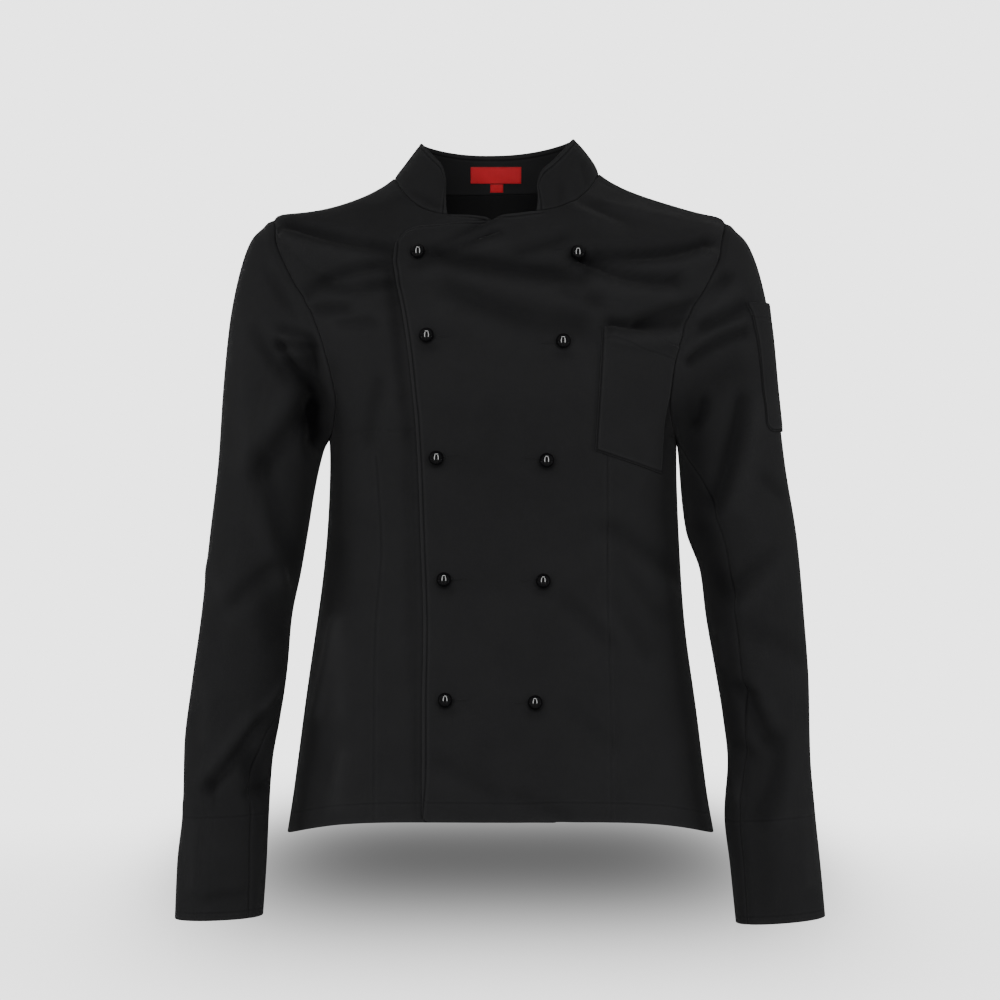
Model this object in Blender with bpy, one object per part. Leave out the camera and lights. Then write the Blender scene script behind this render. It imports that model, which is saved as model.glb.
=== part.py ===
"""Chef jacket, women's size S: double-breasted, ten ball studs, stand collar, long set-in sleeves.

It stands filled out, as when worn, with nobody in it.  Every piece of cloth is a wall of even
thickness whose outer face is read from one smooth form.

The torso is a stack of closed rings.  A point on it has a turn (0 at the centre front, 90 degrees
at the wearer's left side, 180 degrees at the centre back) and a level (0 at the hem, 1 at the
armpits, 2 at the shoulder tips, 3 at the neck seam).  Between levels 1 and 2 the panels stop at
the armholes.  A sleeve is a stack of rings from its armhole (reach 0) to its cuff (reach 1).

Frame: +X is the wearer's left, +Y is behind, +Z is up.  The origin is between the shoulders, at
the height of the neck's side points.  Sizes are in millimetres until a mesh is made.
"""

from collections import namedtuple

import bpy
import numpy as np
from mathutils import Vector

MM = 0.001

# Walls and gaps
CLOTH = 1.5
COLLAR_WALL = 2.2
LABEL_WALL = 0.6
SEAM = 0.35
LAYER_GAP = 0.4
PATCH_GAP = 0.65
COLLAR_GAP = 0.7
LAP_LIFT = CLOTH + LAYER_GAP
NECK_LIFT = 0.8

# Mesh rows and columns
BODY_ROWS = 14
ARM_ROWS = 11
NECK_LEVELS = (2.17, 2.34, 2.50, 2.68, 2.84, 3.00)
BACK_COLUMNS = 18
SLEEVE_ROWS = 20
COLLAR_COLUMNS = 36
COLLAR_ROWS = 4

QUARTER = np.pi / 2
SHOULDER_POWER = 4.0
COLLAR_POWER = 2.0

# ---------------------------------------------------------------------------
# The torso's rings.  right and left are half widths, front and back are depths.
# tilt lifts the left side and lowers the right.
# ---------------------------------------------------------------------------
Ring = namedtuple("Ring", "level side_z tilt front_z back_z right left front back square shift")
TORSO_RINGS = (
    Ring(0.00, -577, 0.0, -561, -575, 191, 192, 117, 116, 2.3, 0),
    Ring(0.15, -524, 0.0, -511, -523, 183, 183, 113, 111, 2.3, 0),
    Ring(0.33, -459, 0.0, -448, -458, 175, 176, 107, 103, 2.3, 0),
    Ring(0.50, -399, 0.0, -390, -399, 166, 166, 101, 95, 2.3, 0),
    Ring(0.68, -334, 0.0, -327, -334, 157, 162, 98, 87, 2.3, 0),
    Ring(0.85, -274, 0.0, -267, -272, 153, 159, 106, 87, 2.3, 0),
    Ring(1.00, -220, 0.0, -212, -216, 152, 158, 118, 92, 2.3, 0),
    Ring(1.20, -182, 0.0, -190, -188, 163, 166, 121, 96, 2.3, 0),
    Ring(1.50, -124, 0.0, -156, -146, 179, 181, 120, 97, 2.3, 0),
    Ring(1.75, -74, -1.5, -128, -110, 196, 197, 116, 94, 2.25, 0),
    Ring(2.00, -26, -1.5, -101, -77, 208, 207, 112, 90, 2.35, 0),
    Ring(2.20, -22, -0.5, -86, -60, 183, 183, 109, 87, 2.6, 0),
    Ring(2.50, -15, 1.5, -62, -34, 150, 152, 103, 78, 2.8, -1),
    Ring(2.80, 0, 2.0, -40, -11, 108, 111, 94, 66, 2.6, -4),
    Ring(3.00, 12, 2.0, -27, 0, 89, 95, 88, 58, 2.3, -6),
)
COLLAR_TOP = Ring(4.0, 44, 2.0, 0, 35, 68, 69, 76, 51, 2.2, -3)
COLLAR_BELLY = 2.5
RING_SPREAD = 0.24
RING_STEPS = 3

# The bust rounds the front out by this much, over a bell of this width.
BUST_RISE = 7.0
BUST_WIDTH = 55.0
BUST_X = 85.0
BUST_Z = -190.0

# How far each armhole cuts in from the ring's side, as a share of the ring's half width.
Armhole = namedtuple("Armhole", "round_from_armpit front back")
ARMHOLES = (
    Armhole(0.00, 0.000, 0.000),
    Armhole(0.15, 0.030, 0.022),
    Armhole(0.30, 0.085, 0.060),
    Armhole(0.45, 0.112, 0.080),
    Armhole(0.56, 0.110, 0.080),
    Armhole(0.63, 0.066, 0.056),
    Armhole(0.72, 0.032, 0.030),
    Armhole(0.85, 0.012, 0.011),
    Armhole(1.00, 0.000, 0.000),
)

# ---------------------------------------------------------------------------
# Lines down the front, as x at each level: the two darts, and the free edges of the two fronts.
# ---------------------------------------------------------------------------
FrontLine = namedtuple("FrontLine", "level dart_right free_edge under_edge dart_left")
FRONT_LINES = (
    FrontLine(0.00, -111, -68, 54, 98),
    FrontLine(0.30, -111, -68, 54, 98),
    FrontLine(0.50, -110, -67, 53, 96),
    FrontLine(0.69, -105, -69, 54, 95),
    FrontLine(0.87, -108, -71, 57, 95),
    FrontLine(1.00, -112, -73, 59, 95),
    FrontLine(1.50, -120, -79, 65, 99),
    FrontLine(1.80, -128, -84, 70, 102),
    FrontLine(2.12, -132, -90, 76, 112),
    FrontLine(2.40, -124, -93, 78, 112),
    FrontLine(2.70, -108, -87, 64, 96),
    FrontLine(3.00, -82, -50, 45, 70),
)
FRONT_SPANS = (7, 3, 10, 3, 6)
FREE_COLUMN = FRONT_SPANS[0] + FRONT_SPANS[1]
UNDER_COLUMN = FREE_COLUMN + FRONT_SPANS[2]
FRONT_COLUMNS = sum(FRONT_SPANS)
LAP_FADE = (1.0, 5.5)
SHARED_LEVEL = NECK_LEVELS[2]

# The upper edge of each front where it laps, from its own free edge to the other's, as a level.
LapEdge = namedtuple("LapEdge", "share level")
LAP_EDGE = (
    LapEdge(0.00, 2.58),
    LapEdge(0.06, 2.72),
    LapEdge(0.13, 2.80),
    LapEdge(0.26, 2.84),
    LapEdge(0.43, 2.91),
    LapEdge(0.56, 2.97),
    LapEdge(0.80, 3.00),
    LapEdge(1.00, 3.00),
)
CORNER_CUT = 3.0

# ---------------------------------------------------------------------------
# Folds.  A fold is a soft trough (rise below 0) or ridge along a line seen from the front, bowed
# sideways at its middle, and as wide as its bell.
# ---------------------------------------------------------------------------
Fold = namedtuple("Fold", "x1 z1 x2 z2 bow width rise")
FRONT_FOLDS = (
    Fold(-187, -36, -96, -58, -4, 9, -3.0),
    Fold(-172, -96, -108, -67, 3, 9, -3.2),
    Fold(-152, -94, -95, -88, 4, 8, -2.4),
    Fold(-155, -104, -102, -122, 6, 12, 2.2),
    Fold(-110, -180, -113, -232, 0, 9, -2.2),
    Fold(-58, -62, 70, -86, 5, 11, -2.8),
    Fold(-50, -64, -2, -44, 2, 8, -1.8),
    Fold(-38, -92, 62, -126, -6, 14, -2.6),
    Fold(86, -60, 192, -48, -4, 10, -2.6),
    Fold(72, -66, 152, -86, -5, 10, -3.0),
    Fold(101, -119, 165, -117, 2, 8, -3.4),
    Fold(98, -20, 190, -40, 0, 8, 1.8),
    Fold(-145, -385, -147, -545, 4, 9, 3.4),
    Fold(-158, -335, -140, -390, -3, 11, -2.6),
    Fold(62, -368, 96, -404, 3, 12, -2.4),
    Fold(104, -372, 129, -414, 3, 10, -2.2),
    Fold(-42, -511, -8, -536, 3, 12, -2.2),
    Fold(20, -541, 54, -556, 2, 10, -2.0),
    Fold(140, -440, 150, -560, -4, 14, 2.6),
    Fold(20, -420, 26, -556, 4, 18, 2.0),
)
BACK_FOLDS = (
    Fold(-150, -60, -40, -96, -6, 14, -2.6),
    Fold(150, -66, 46, -92, 6, 13, -2.8),
    Fold(-138, -150, -66, -178, 4, 13, -2.2),
    Fold(140, -158, 58, -190, -5, 14, -2.4),
    Fold(-60, -320, 70, -334, 8, 15, -3.0),
    Fold(-84, -364, 40, -352, -6, 13, -2.4),
    Fold(-70, -400, -86, -560, 5, 18, 3.4),
    Fold(66, -390, 82, -562, -5, 19, 3.2),
    Fold(0, -410, 6, -560, 3, 16, -2.6),
    Fold(-140, -360, -150, -540, 3, 15, -2.4),
    Fold(142, -370, 152, -545, -3, 15, -2.6),
)
DART_DEPTH = 0.8
DART_WIDTH = 5.0
DART_TOP_Z = -238.0

# ---------------------------------------------------------------------------
# The sleeves' rings, as seen from the front: the outer and the inner end of each ring, its centre's
# y and its half depth.  reach runs from the armhole to the cuff.
# ---------------------------------------------------------------------------
SleeveRing = namedtuple("SleeveRing", "reach outer_x outer_z inner_x inner_z middle_y depth")
SLEEVE_RIGHT = (
    SleeveRing(0.00, 200, -33, 152, -220, -3, 58),
    SleeveRing(0.05, 220, -46, 157, -229, -3, 61),
    SleeveRing(0.10, 232, -72, 161, -243, -3, 62),
    SleeveRing(0.17, 243, -122, 167, -272, -3, 61),
    SleeveRing(0.25, 249, -182, 172, -303, -3, 60),
    SleeveRing(0.35, 253, -243, 179, -344, -4, 57),
    SleeveRing(0.45, 261, -314, 187, -384, -6, 54),
    SleeveRing(0.55, 268, -381, 191, -430, -9, 52),
    SleeveRing(0.65, 276, -440, 197, -473, -12, 50),
    SleeveRing(0.74, 283, -500, 204, -514, -15, 48),
    SleeveRing(0.83, 284, -554, 207, -560, -18, 47),
    SleeveRing(0.91, 289, -603, 209, -604, -20, 46),
    SleeveRing(1.00, 291, -653, 212, -650, -22, 45),
)
SLEEVE_LEFT = (
    SleeveRing(0.00, 200, -36, 158, -220, -3, 58),
    SleeveRing(0.05, 220, -50, 160, -230, -3, 61),
    SleeveRing(0.10, 234, -82, 161, -246, -3, 62),
    SleeveRing(0.17, 243, -124, 163, -275, -3, 61),
    SleeveRing(0.25, 249, -184, 167, -306, -3, 60),
    SleeveRing(0.35, 256, -246, 180, -344, -4, 57),
    SleeveRing(0.45, 267, -316, 185, -384, -6, 54),
    SleeveRing(0.55, 273, -384, 193, -430, -9, 52),
    SleeveRing(0.65, 277, -444, 200, -474, -12, 50),
    SleeveRing(0.74, 278, -504, 204, -514, -15, 48),
    SleeveRing(0.83, 282, -556, 201, -560, -18, 47),
    SleeveRing(0.91, 287, -606, 206, -606, -20, 46),
    SleeveRing(1.00, 291, -651, 211, -657, -22, 45),
)
SLEEVE_SQUARE = 2.1
CAP_REACH = 0.22
CAP_CROWDING = 1.25
SLEEVE_RIGHT_FRONT_FOLDS = (
    Fold(-219, -130, -186, -168, 4, 11, -3.4),
    Fold(-210, -72, -182, -108, 3, 9, -2.4),
    Fold(-197, -141, -160, -145, -3, 8, -2.8),
    Fold(-190, -158, -168, -182, 2, 8, -2.0),
    Fold(-203, -326, -226, -358, -3, 10, -2.8),
    Fold(-210, -468, -256, -537, 5, 9, -4.6),
    Fold(-206, -500, -206, -528, 2, 7, 2.4),
    Fold(-278, -560, -273, -616, 3, 9, 2.4),
    Fold(-192, -412, -212, -478, -5, 9, 2.6),
    Fold(-240, -400, -268, -440, 5, 12, -2.4),
)
SLEEVE_RIGHT_BACK_FOLDS = (
    Fold(-178, -110, -232, -168, 4, 13, -3.2),
    Fold(-176, -190, -222, -214, -4, 12, -2.6),
    Fold(-196, -330, -262, -352, 6, 13, -3.8),
    Fold(-200, -382, -266, -372, -6, 12, -3.2),
    Fold(-214, -470, -270, -500, 5, 13, -3.0),
    Fold(-224, -560, -280, -590, 5, 13, -2.6),
)
SLEEVE_LEFT_FRONT_FOLDS = (
    Fold(224, -126, 169, -156, 4, 10, -3.4),
    Fold(216, -105, 176, -118, 3, 8, -2.4),
    Fold(174, -95, 202, -80, 2, 8, -2.0),
    Fold(215, -198, 189, -288, -6, 11, -3.0),
    Fold(240, -262, 256, -278, 2, 9, -2.2),
    Fold(206, -364, 246, -314, -5, 10, -3.0),
    Fold(211, -446, 236, -488, -5, 10, -3.6),
    Fold(250, -508, 230, -563, 5, 11, -2.8),
    Fold(262, -560, 268, -620, 3, 12, 2.4),
    Fold(226, -400, 262, -424, 5, 14, -2.2),
)
SLEEVE_LEFT_BACK_FOLDS = (
    Fold(180, -116, 234, -170, -4, 13, -3.2),
    Fold(178, -196, 224, -222, 4, 12, -2.6),
    Fold(196, -326, 264, -350, -6, 13, -3.8),
    Fold(200, -380, 268, -374, 6, 12, -3.2),
    Fold(212, -466, 272, -498, -5, 13, -3.0),
    Fold(222, -556, 282, -586, -5, 13, -2.6),
)

# ---------------------------------------------------------------------------
# The collar's ends, as turns of its seam and of its top edge, from the centre front.
# ---------------------------------------------------------------------------
CollarEnd = namedtuple("CollarEnd", "seam_x top_x")
COLLAR_LEFT_END = CollarEnd(31.7, 31.0)
COLLAR_RIGHT_END = CollarEnd(-46.6, -47.0)
COLLAR_END_ROUND = 13.0
COLLAR_HEIGHT = 38.0
COLLAR_LENGTH = 430.0

# Small pieces.  A pocket's corners are named from the wearer's centre outwards.
Corner = namedtuple("Corner", "x z")
CHEST_POCKET = (
    Corner(88.5, -127.0),
    Corner(149.0, -144.0),
    Corner(82.0, -235.0),
    Corner(143.0, -256.0),
)
CHEST_POCKET_ROWS = 12
CHEST_POCKET_FLARE = 9.0
CHEST_POCKET_SAG = 2.0
ARMHOLE_MARGIN = 0.3

# The sleeve pocket's front edge at its top and its bottom, and its back edge, as turns round the sleeve.
SLEEVE_POCKET_FRONT = (0.74, 0.98)
SLEEVE_POCKET_BACK = -0.34
SLEEVE_POCKET_Z = (-103.0, -218.0)
SLEEVE_POCKET_ROWS = 12
SLEEVE_POCKET_ROUND = 9.0
SLEEVE_GIRTH_RADIUS = 50.0
PATCH_STEP = 0.5
PATCH_SLIVER = 0.03

LABEL_SPAN = (-27.0, 19.5)
LABEL_Z = (24.5, 9.5)
TAB_SPAN = (-9.0, 3.0)
TAB_Z = (9.1, 1.5)

Stud = namedtuple("Stud", "name x z")
STUDS = (
    Stud("button_right_1", -72, -65),
    Stud("button_right_2", -63, -137),
    Stud("button_right_3", -54, -240),
    Stud("button_right_4", -48, -349),
    Stud("button_right_5", -47, -455),
    Stud("button_left_1", 66, -60),
    Stud("button_left_2", 54, -143),
    Stud("button_left_3", 40, -242),
    Stud("button_left_4", 37, -350),
    Stud("button_left_5", 30, -457),
)
STUD_BALL = 6.6
STUD_NECK = 3.2
STUD_NECK_HEIGHT = 1.3
STUD_GAP = 0.45
STUD_TURNS = 12
STUD_LATITUDES = 7

Finish = namedtuple("Finish", "colour roughness")
BLACK_TWILL = Finish((0.0145, 0.0145, 0.0150), 0.90)
BLACK_GLOSS = Finish((0.0060, 0.0060, 0.0065), 0.12)
RED_RIBBON = Finish((0.3300, 0.0080, 0.0140), 0.55)


# ---------------------------------------------------------------------------
# Curves through tables
# ---------------------------------------------------------------------------
def columns_of(rows):
    """A table of named rows as one array for each named column."""
    return {name: np.array([getattr(row, name) for row in rows], float) for name in rows[0]._fields}


def smooth(knots, values, at):
    """A smooth curve through the knots that never overshoots them, read at `at`."""
    step = np.diff(knots)
    rise = np.diff(values) / step
    slope = np.concatenate([rise[:1], (rise[:-1] + rise[1:]) / 2, rise[-1:]])
    level = rise[:-1] * rise[1:] <= 0
    even = 2 * rise[:-1] * rise[1:] / np.where(level, 1, rise[:-1] + rise[1:])
    slope[1:-1] = np.where(level, 0, even)
    span = np.clip(np.searchsorted(knots, at) - 1, 0, len(step) - 1)
    t = (at - knots[span]) / step[span]
    start = (1 + 2 * t) * (1 - t) ** 2 * values[span] + t * (1 - t) ** 2 * step[span] * slope[span]
    end = t * t * (3 - 2 * t) * values[span + 1] + t * t * (t - 1) * step[span] * slope[span + 1]
    return start + end


def ease(t):
    """0 below 0, 1 above 1, and a smooth step between."""
    t = np.clip(t, 0, 1)
    return t * t * (3 - 2 * t)


def bisect(rising, low, high, target):
    """Where a rising function meets the target, for whole arrays at once."""
    low = np.broadcast_to(low, np.shape(target)).astype(float)
    high = np.broadcast_to(high, np.shape(target)).astype(float)
    for _ in range(36):
        middle = (low + high) / 2
        under = rising(middle) < target
        low = np.where(under, middle, low)
        high = np.where(under, high, middle)
    return (low + high) / 2


def unit(vectors):
    return vectors / np.linalg.norm(vectors, axis=-1, keepdims=True)


def facing(surface, u, v, step=0.004):
    """The unit normal of surface(u, v), from its two slopes."""
    along_u = surface(u + step, v) - surface(u - step, v)
    along_v = surface(u, v + step) - surface(u, v - step)
    return unit(np.cross(along_u, along_v))


def fold_rise(folds, x, z):
    """How far all the folds together lift the cloth at (x, z) seen from the front."""
    total = np.zeros(np.shape(x))
    for fold in folds:
        run = np.array([fold.x2 - fold.x1, fold.z2 - fold.z1], float)
        length = np.hypot(*run)
        along = ((x - fold.x1) * run[0] + (z - fold.z1) * run[1]) / length**2
        inside = np.clip(along, 0, 1)
        off = ((z - fold.z1) * run[0] - (x - fold.x1) * run[1]) / length
        off = off - fold.bow * 4 * inside * (1 - inside)
        beyond = (along - inside) * length
        total = total + fold.rise * np.exp(-((off / fold.width) ** 2 + (beyond / fold.width) ** 2))
    return total


# ---------------------------------------------------------------------------
# The torso's form
# ---------------------------------------------------------------------------
TORSO = columns_of(TORSO_RINGS)
LINES = columns_of(FRONT_LINES)
HOLES = columns_of(ARMHOLES)
LAP = columns_of(LAP_EDGE)


def on_ring(ring, turn, power):
    """A point of a closed ring: a squared ellipse whose middle points may lie lower than its sides."""
    across = np.sin(turn)
    ahead = np.cos(turn)
    curve = 2 / ring["square"]
    reach = np.where(across > 0, ring["left"], ring["right"])
    depth = np.where(ahead > 0, -ring["front"], ring["back"])
    middle_z = np.where(ahead > 0, ring["front_z"], ring["back_z"])
    x = ring["shift"] + reach * np.sign(across) * np.abs(across) ** curve
    y = depth * np.abs(ahead) ** curve
    z = ring["side_z"] + (middle_z - ring["side_z"]) * (1 - np.abs(across) ** power)
    z = z + ring["tilt"] * across
    return x, y, z


def torso_ring(level):
    """The ring at a level: a weighted mean of the rings just below and above, so none shows as a line."""
    spread = np.minimum(RING_SPREAD, np.minimum(level, 3 - level))
    steps = np.arange(-RING_STEPS, RING_STEPS + 1)
    weights = RING_STEPS + 1 - np.abs(steps)
    return {
        name: sum(
            weight * smooth(TORSO["level"], TORSO[name], level + spread * step / RING_STEPS)
            for step, weight in zip(steps, weights / weights.sum())
        )
        for name in Ring._fields[1:]
    }


def torso_plain(turn, level):
    """The torso's outer face without folds."""
    x, y, z = on_ring(torso_ring(level), turn, SHOULDER_POWER)
    bells = sum(np.exp(-((x - s * BUST_X) ** 2 + (z - BUST_Z) ** 2) / (2 * BUST_WIDTH**2)) for s in (-1, 1))
    y = y - BUST_RISE * bells * np.clip(np.cos(turn), 0, 1)
    return np.stack([x, y, z], axis=-1)


def dart_groove(x, z):
    """The two long darts press a narrow groove into the front, from the bust down to the hem."""
    level = bisect(lambda at: smooth(TORSO["level"], TORSO["front_z"], at), 0, 3, z)
    rise = 0
    for name in ("dart_right", "dart_left"):
        off = x - smooth(LINES["level"], LINES[name], level)
        rise = rise - DART_DEPTH * np.exp(-((off / DART_WIDTH) ** 2)) * ease((DART_TOP_Z - z) / 25)
    return rise


def torso(turn, level):
    """The torso's outer face with its folds."""
    turn, level = np.broadcast_arrays(turn, level)
    plain = torso_plain(turn, level)
    x, z = plain[..., 0], plain[..., 2]
    ahead = np.cos(turn)
    front = (fold_rise(FRONT_FOLDS, x, z) + dart_groove(x, z)) * ease(ahead * 2.5)
    back = fold_rise(BACK_FOLDS, x, z) * ease(-ahead * 2.5)
    return plain + facing(torso_plain, turn, level) * (front + back)[..., None]


def turn_at(x, level):
    """The front turn at which the ring of this level passes x."""
    ring = torso_ring(level)
    reach = np.where(x > ring["shift"], ring["left"], ring["right"])
    share = np.clip(np.abs(x - ring["shift"]) / reach, 0, 1)
    return np.sign(x - ring["shift"]) * np.arcsin(share ** (ring["square"] / 2))


def level_at(x, z):
    """The level at which the front's plain form passes (x, z)."""
    x, z = np.broadcast_arrays(np.asarray(x, float), np.asarray(z, float))
    return bisect(lambda at: torso_plain(turn_at(x, at), at)[..., 2], 0.0, 3.0, z)


def edge_turn(level, side):
    """How far a front or back panel reaches round from its middle, before its side seam or armhole."""
    around = np.arccos(np.clip(1 - 2 * (level - 1), -1, 1)) / np.pi
    notch = smooth(HOLES["round_from_armpit"], HOLES[side], around)
    square = smooth(TORSO["level"], TORSO["square"], level)
    return np.arcsin(np.clip(1 - notch, 0, 1) ** (square / 2))


def front_bounds(level):
    """The turns of the six lines that bound the front's spans of columns."""
    side = edge_turn(level, "front")
    inner = [
        turn_at(smooth(LINES["level"], LINES[name], level), level) for name in FrontLine._fields[1:]
    ]
    return np.stack([-side, *inner, side], axis=-1)


FRONT_STARTS = np.concatenate([[0], np.cumsum(FRONT_SPANS)]).astype(float)


def front_turn(column, level):
    """The turn of a front column, counted from the wearer's right side seam."""
    column, level = np.broadcast_arrays(np.asarray(column, float), level)
    bounds = front_bounds(level)
    span = np.clip(np.searchsorted(FRONT_STARTS, column, side="right") - 1, 0, len(FRONT_SPANS) - 1)
    share = (column - FRONT_STARTS[span]) / (FRONT_STARTS[span + 1] - FRONT_STARTS[span])
    low = np.take_along_axis(bounds, span[..., None], axis=-1)[..., 0]
    high = np.take_along_axis(bounds, span[..., None] + 1, axis=-1)[..., 0]
    return low + (high - low) * share


def front_column(turn, level):
    """The front column at a turn: the inverse of front_turn."""
    turn, level = np.broadcast_arrays(turn, level)
    return bisect(lambda at: front_turn(at, level), 0, FRONT_COLUMNS, turn)


def lap_lift(column, level):
    """How far the top front lies above the form: it is lifted where the under front is below it."""
    start, end = LAP_FADE
    lift = LAP_LIFT + NECK_LIFT * ease((level - 2.2) / 0.3)
    return lift * (1 - ease((column - UNDER_COLUMN - start) / (end - start)))


def base_levels():
    """The levels of the mesh rows: even below the armpits, denser towards both ends of an armhole."""
    body = np.linspace(0, 1, BODY_ROWS + 1)
    arm = 1 + (1 - np.cos(np.pi * np.arange(1, ARM_ROWS + 1) / ARM_ROWS)) / 2
    return np.concatenate([body, arm, NECK_LEVELS])


def lapped_levels(columns, top_level):
    """Rows by columns of levels, where the highest rows end at each column's own top."""
    levels = np.repeat(base_levels()[:, None], len(columns), axis=1)
    high = (levels - SHARED_LEVEL) / (3 - SHARED_LEVEL)
    return np.where(high > 0, SHARED_LEVEL + high * (top_level[None, :] - SHARED_LEVEL), levels)


def lap_top(share):
    """The level of a front's upper edge, by its share of the way from its own free edge."""
    return np.where(share < 1, smooth(LAP["share"], LAP["level"], np.clip(share, 0, 1)), 3.0)


# ---------------------------------------------------------------------------
# Meshes
# ---------------------------------------------------------------------------
def material_of(name, finish):
    material = bpy.data.materials.new(name)
    material.use_nodes = True
    shader = material.node_tree.nodes["Principled BSDF"]
    shader.inputs["Base Color"].default_value = (*finish.colour, 1)
    shader.inputs["Roughness"].default_value = finish.roughness
    shader.inputs["Metallic"].default_value = 0.0
    return material


def add_object(name, mesh, finish):
    mesh.shade_smooth()
    mesh.set_sharp_from_angle(angle=np.radians(50))
    mesh.materials.clear()
    mesh.materials.append(material_of(name, finish))
    obj = bpy.data.objects.new(name, mesh)
    bpy.context.scene.collection.objects.link(obj)
    return obj


def quads(rows, columns, closed):
    """Corner indices of a grid's cells, two triangles a cell, all cut along the same diagonal."""
    last = columns if closed else columns - 1
    row, column = np.meshgrid(np.arange(rows - 1), np.arange(last), indexing="ij")
    here = row * columns + column
    right = row * columns + (column + 1) % columns
    above = here + columns
    corner = right + columns
    lower = np.stack([here, right, corner], axis=-1).reshape(-1, 3)
    upper = np.stack([here, corner, above], axis=-1).reshape(-1, 3)
    return np.concatenate([lower, upper])


def rim(outer, inner):
    """Two triangles between each pair of neighbours along an edge, from the outer to the inner face."""
    first = np.stack([outer[:-1], inner[:-1], inner[1:]], axis=-1)
    second = np.stack([outer[:-1], inner[1:], outer[1:]], axis=-1)
    return np.concatenate([first, second])


def add_wall(name, outer, inner, finish, closed=False, flip=False):
    """A wall between two grids of points, closed all round its edges."""
    rows, columns = outer.shape[:2]
    index = np.arange(rows * columns).reshape(rows, columns)
    if closed:
        index = np.concatenate([index, index[:, :1]], axis=1)
    under = index + rows * columns
    face = quads(rows, columns, closed)
    faces = [face, face[:, ::-1] + rows * columns, rim(index[0], under[0]), rim(index[-1, ::-1], under[-1, ::-1])]
    if not closed:
        faces.append(rim(index[::-1, 0], under[::-1, 0]))
        faces.append(rim(index[:, -1], under[:, -1]))
    faces = np.concatenate(faces)
    if flip:
        faces = faces[:, ::-1]
    points = np.concatenate([outer.reshape(-1, 3), inner.reshape(-1, 3)]) * MM
    mesh = bpy.data.meshes.new(name)
    mesh.from_pydata(points.tolist(), [], faces.tolist())
    return add_object(name, mesh, finish)


# ---------------------------------------------------------------------------
# Fronts and back
# ---------------------------------------------------------------------------
def part_at_seam(points, turn, step_y):
    """Moves the points on a side or shoulder seam half a gap towards their own panel."""
    on_seam = np.abs(np.cos(turn)) < 1e-6
    points[..., 1] += np.where(on_seam, step_y, 0)


def cut_corner(points, row, column, next_row, next_column):
    """Rounds a corner of a grid by drawing its last point in towards its cell's far corner."""
    inward = points[next_row, next_column] - points[row, column]
    points[row, column] += CORNER_CUT * unit(inward)


def front_grids():
    """The outer faces and normals of both fronts, on columns that they share where they lap."""
    top_columns = np.arange(FREE_COLUMN, FRONT_COLUMNS + 1)
    under_columns = np.arange(0, UNDER_COLUMN + 1)
    lap = UNDER_COLUMN - FREE_COLUMN
    top_levels = lapped_levels(top_columns, lap_top((top_columns - FREE_COLUMN) / lap))
    under_levels = lapped_levels(under_columns, lap_top((UNDER_COLUMN - under_columns) / lap))
    grids = {}
    for name, columns, levels, lift in (
        ("front_left", top_columns, top_levels, lap_lift(top_columns[None, :], top_levels)),
        ("front_right", under_columns, under_levels, np.zeros(under_levels.shape)),
    ):
        turn = front_turn(columns[None, :], levels)
        normal = facing(torso, turn, levels)
        outer = torso(turn, levels) + normal * lift[..., None]
        part_at_seam(outer, turn, -SEAM / 2)
        grids[name] = (outer, normal)
    return grids


def make_fronts(grids):
    for name, free in (("front_left", 0), ("front_right", -1)):
        outer, normal = grids[name]
        inner = outer - normal * CLOTH
        beside = 1 if free == 0 else -2
        for points in (outer, inner):
            cut_corner(points, 0, free, 1, beside)
            cut_corner(points, -1, free, -2, beside)
        add_wall(name, outer, inner, BLACK_TWILL)


def make_back():
    levels = base_levels()[:, None]
    share = np.linspace(-1, 1, BACK_COLUMNS + 1)[None, :]
    turn = np.pi + share * edge_turn(levels, "back")
    levels = np.broadcast_to(levels, turn.shape)
    normal = facing(torso, turn, levels)
    outer = torso(turn, levels)
    part_at_seam(outer, turn, SEAM / 2)
    add_wall("back", outer, outer - normal * CLOTH, BLACK_TWILL)


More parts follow.
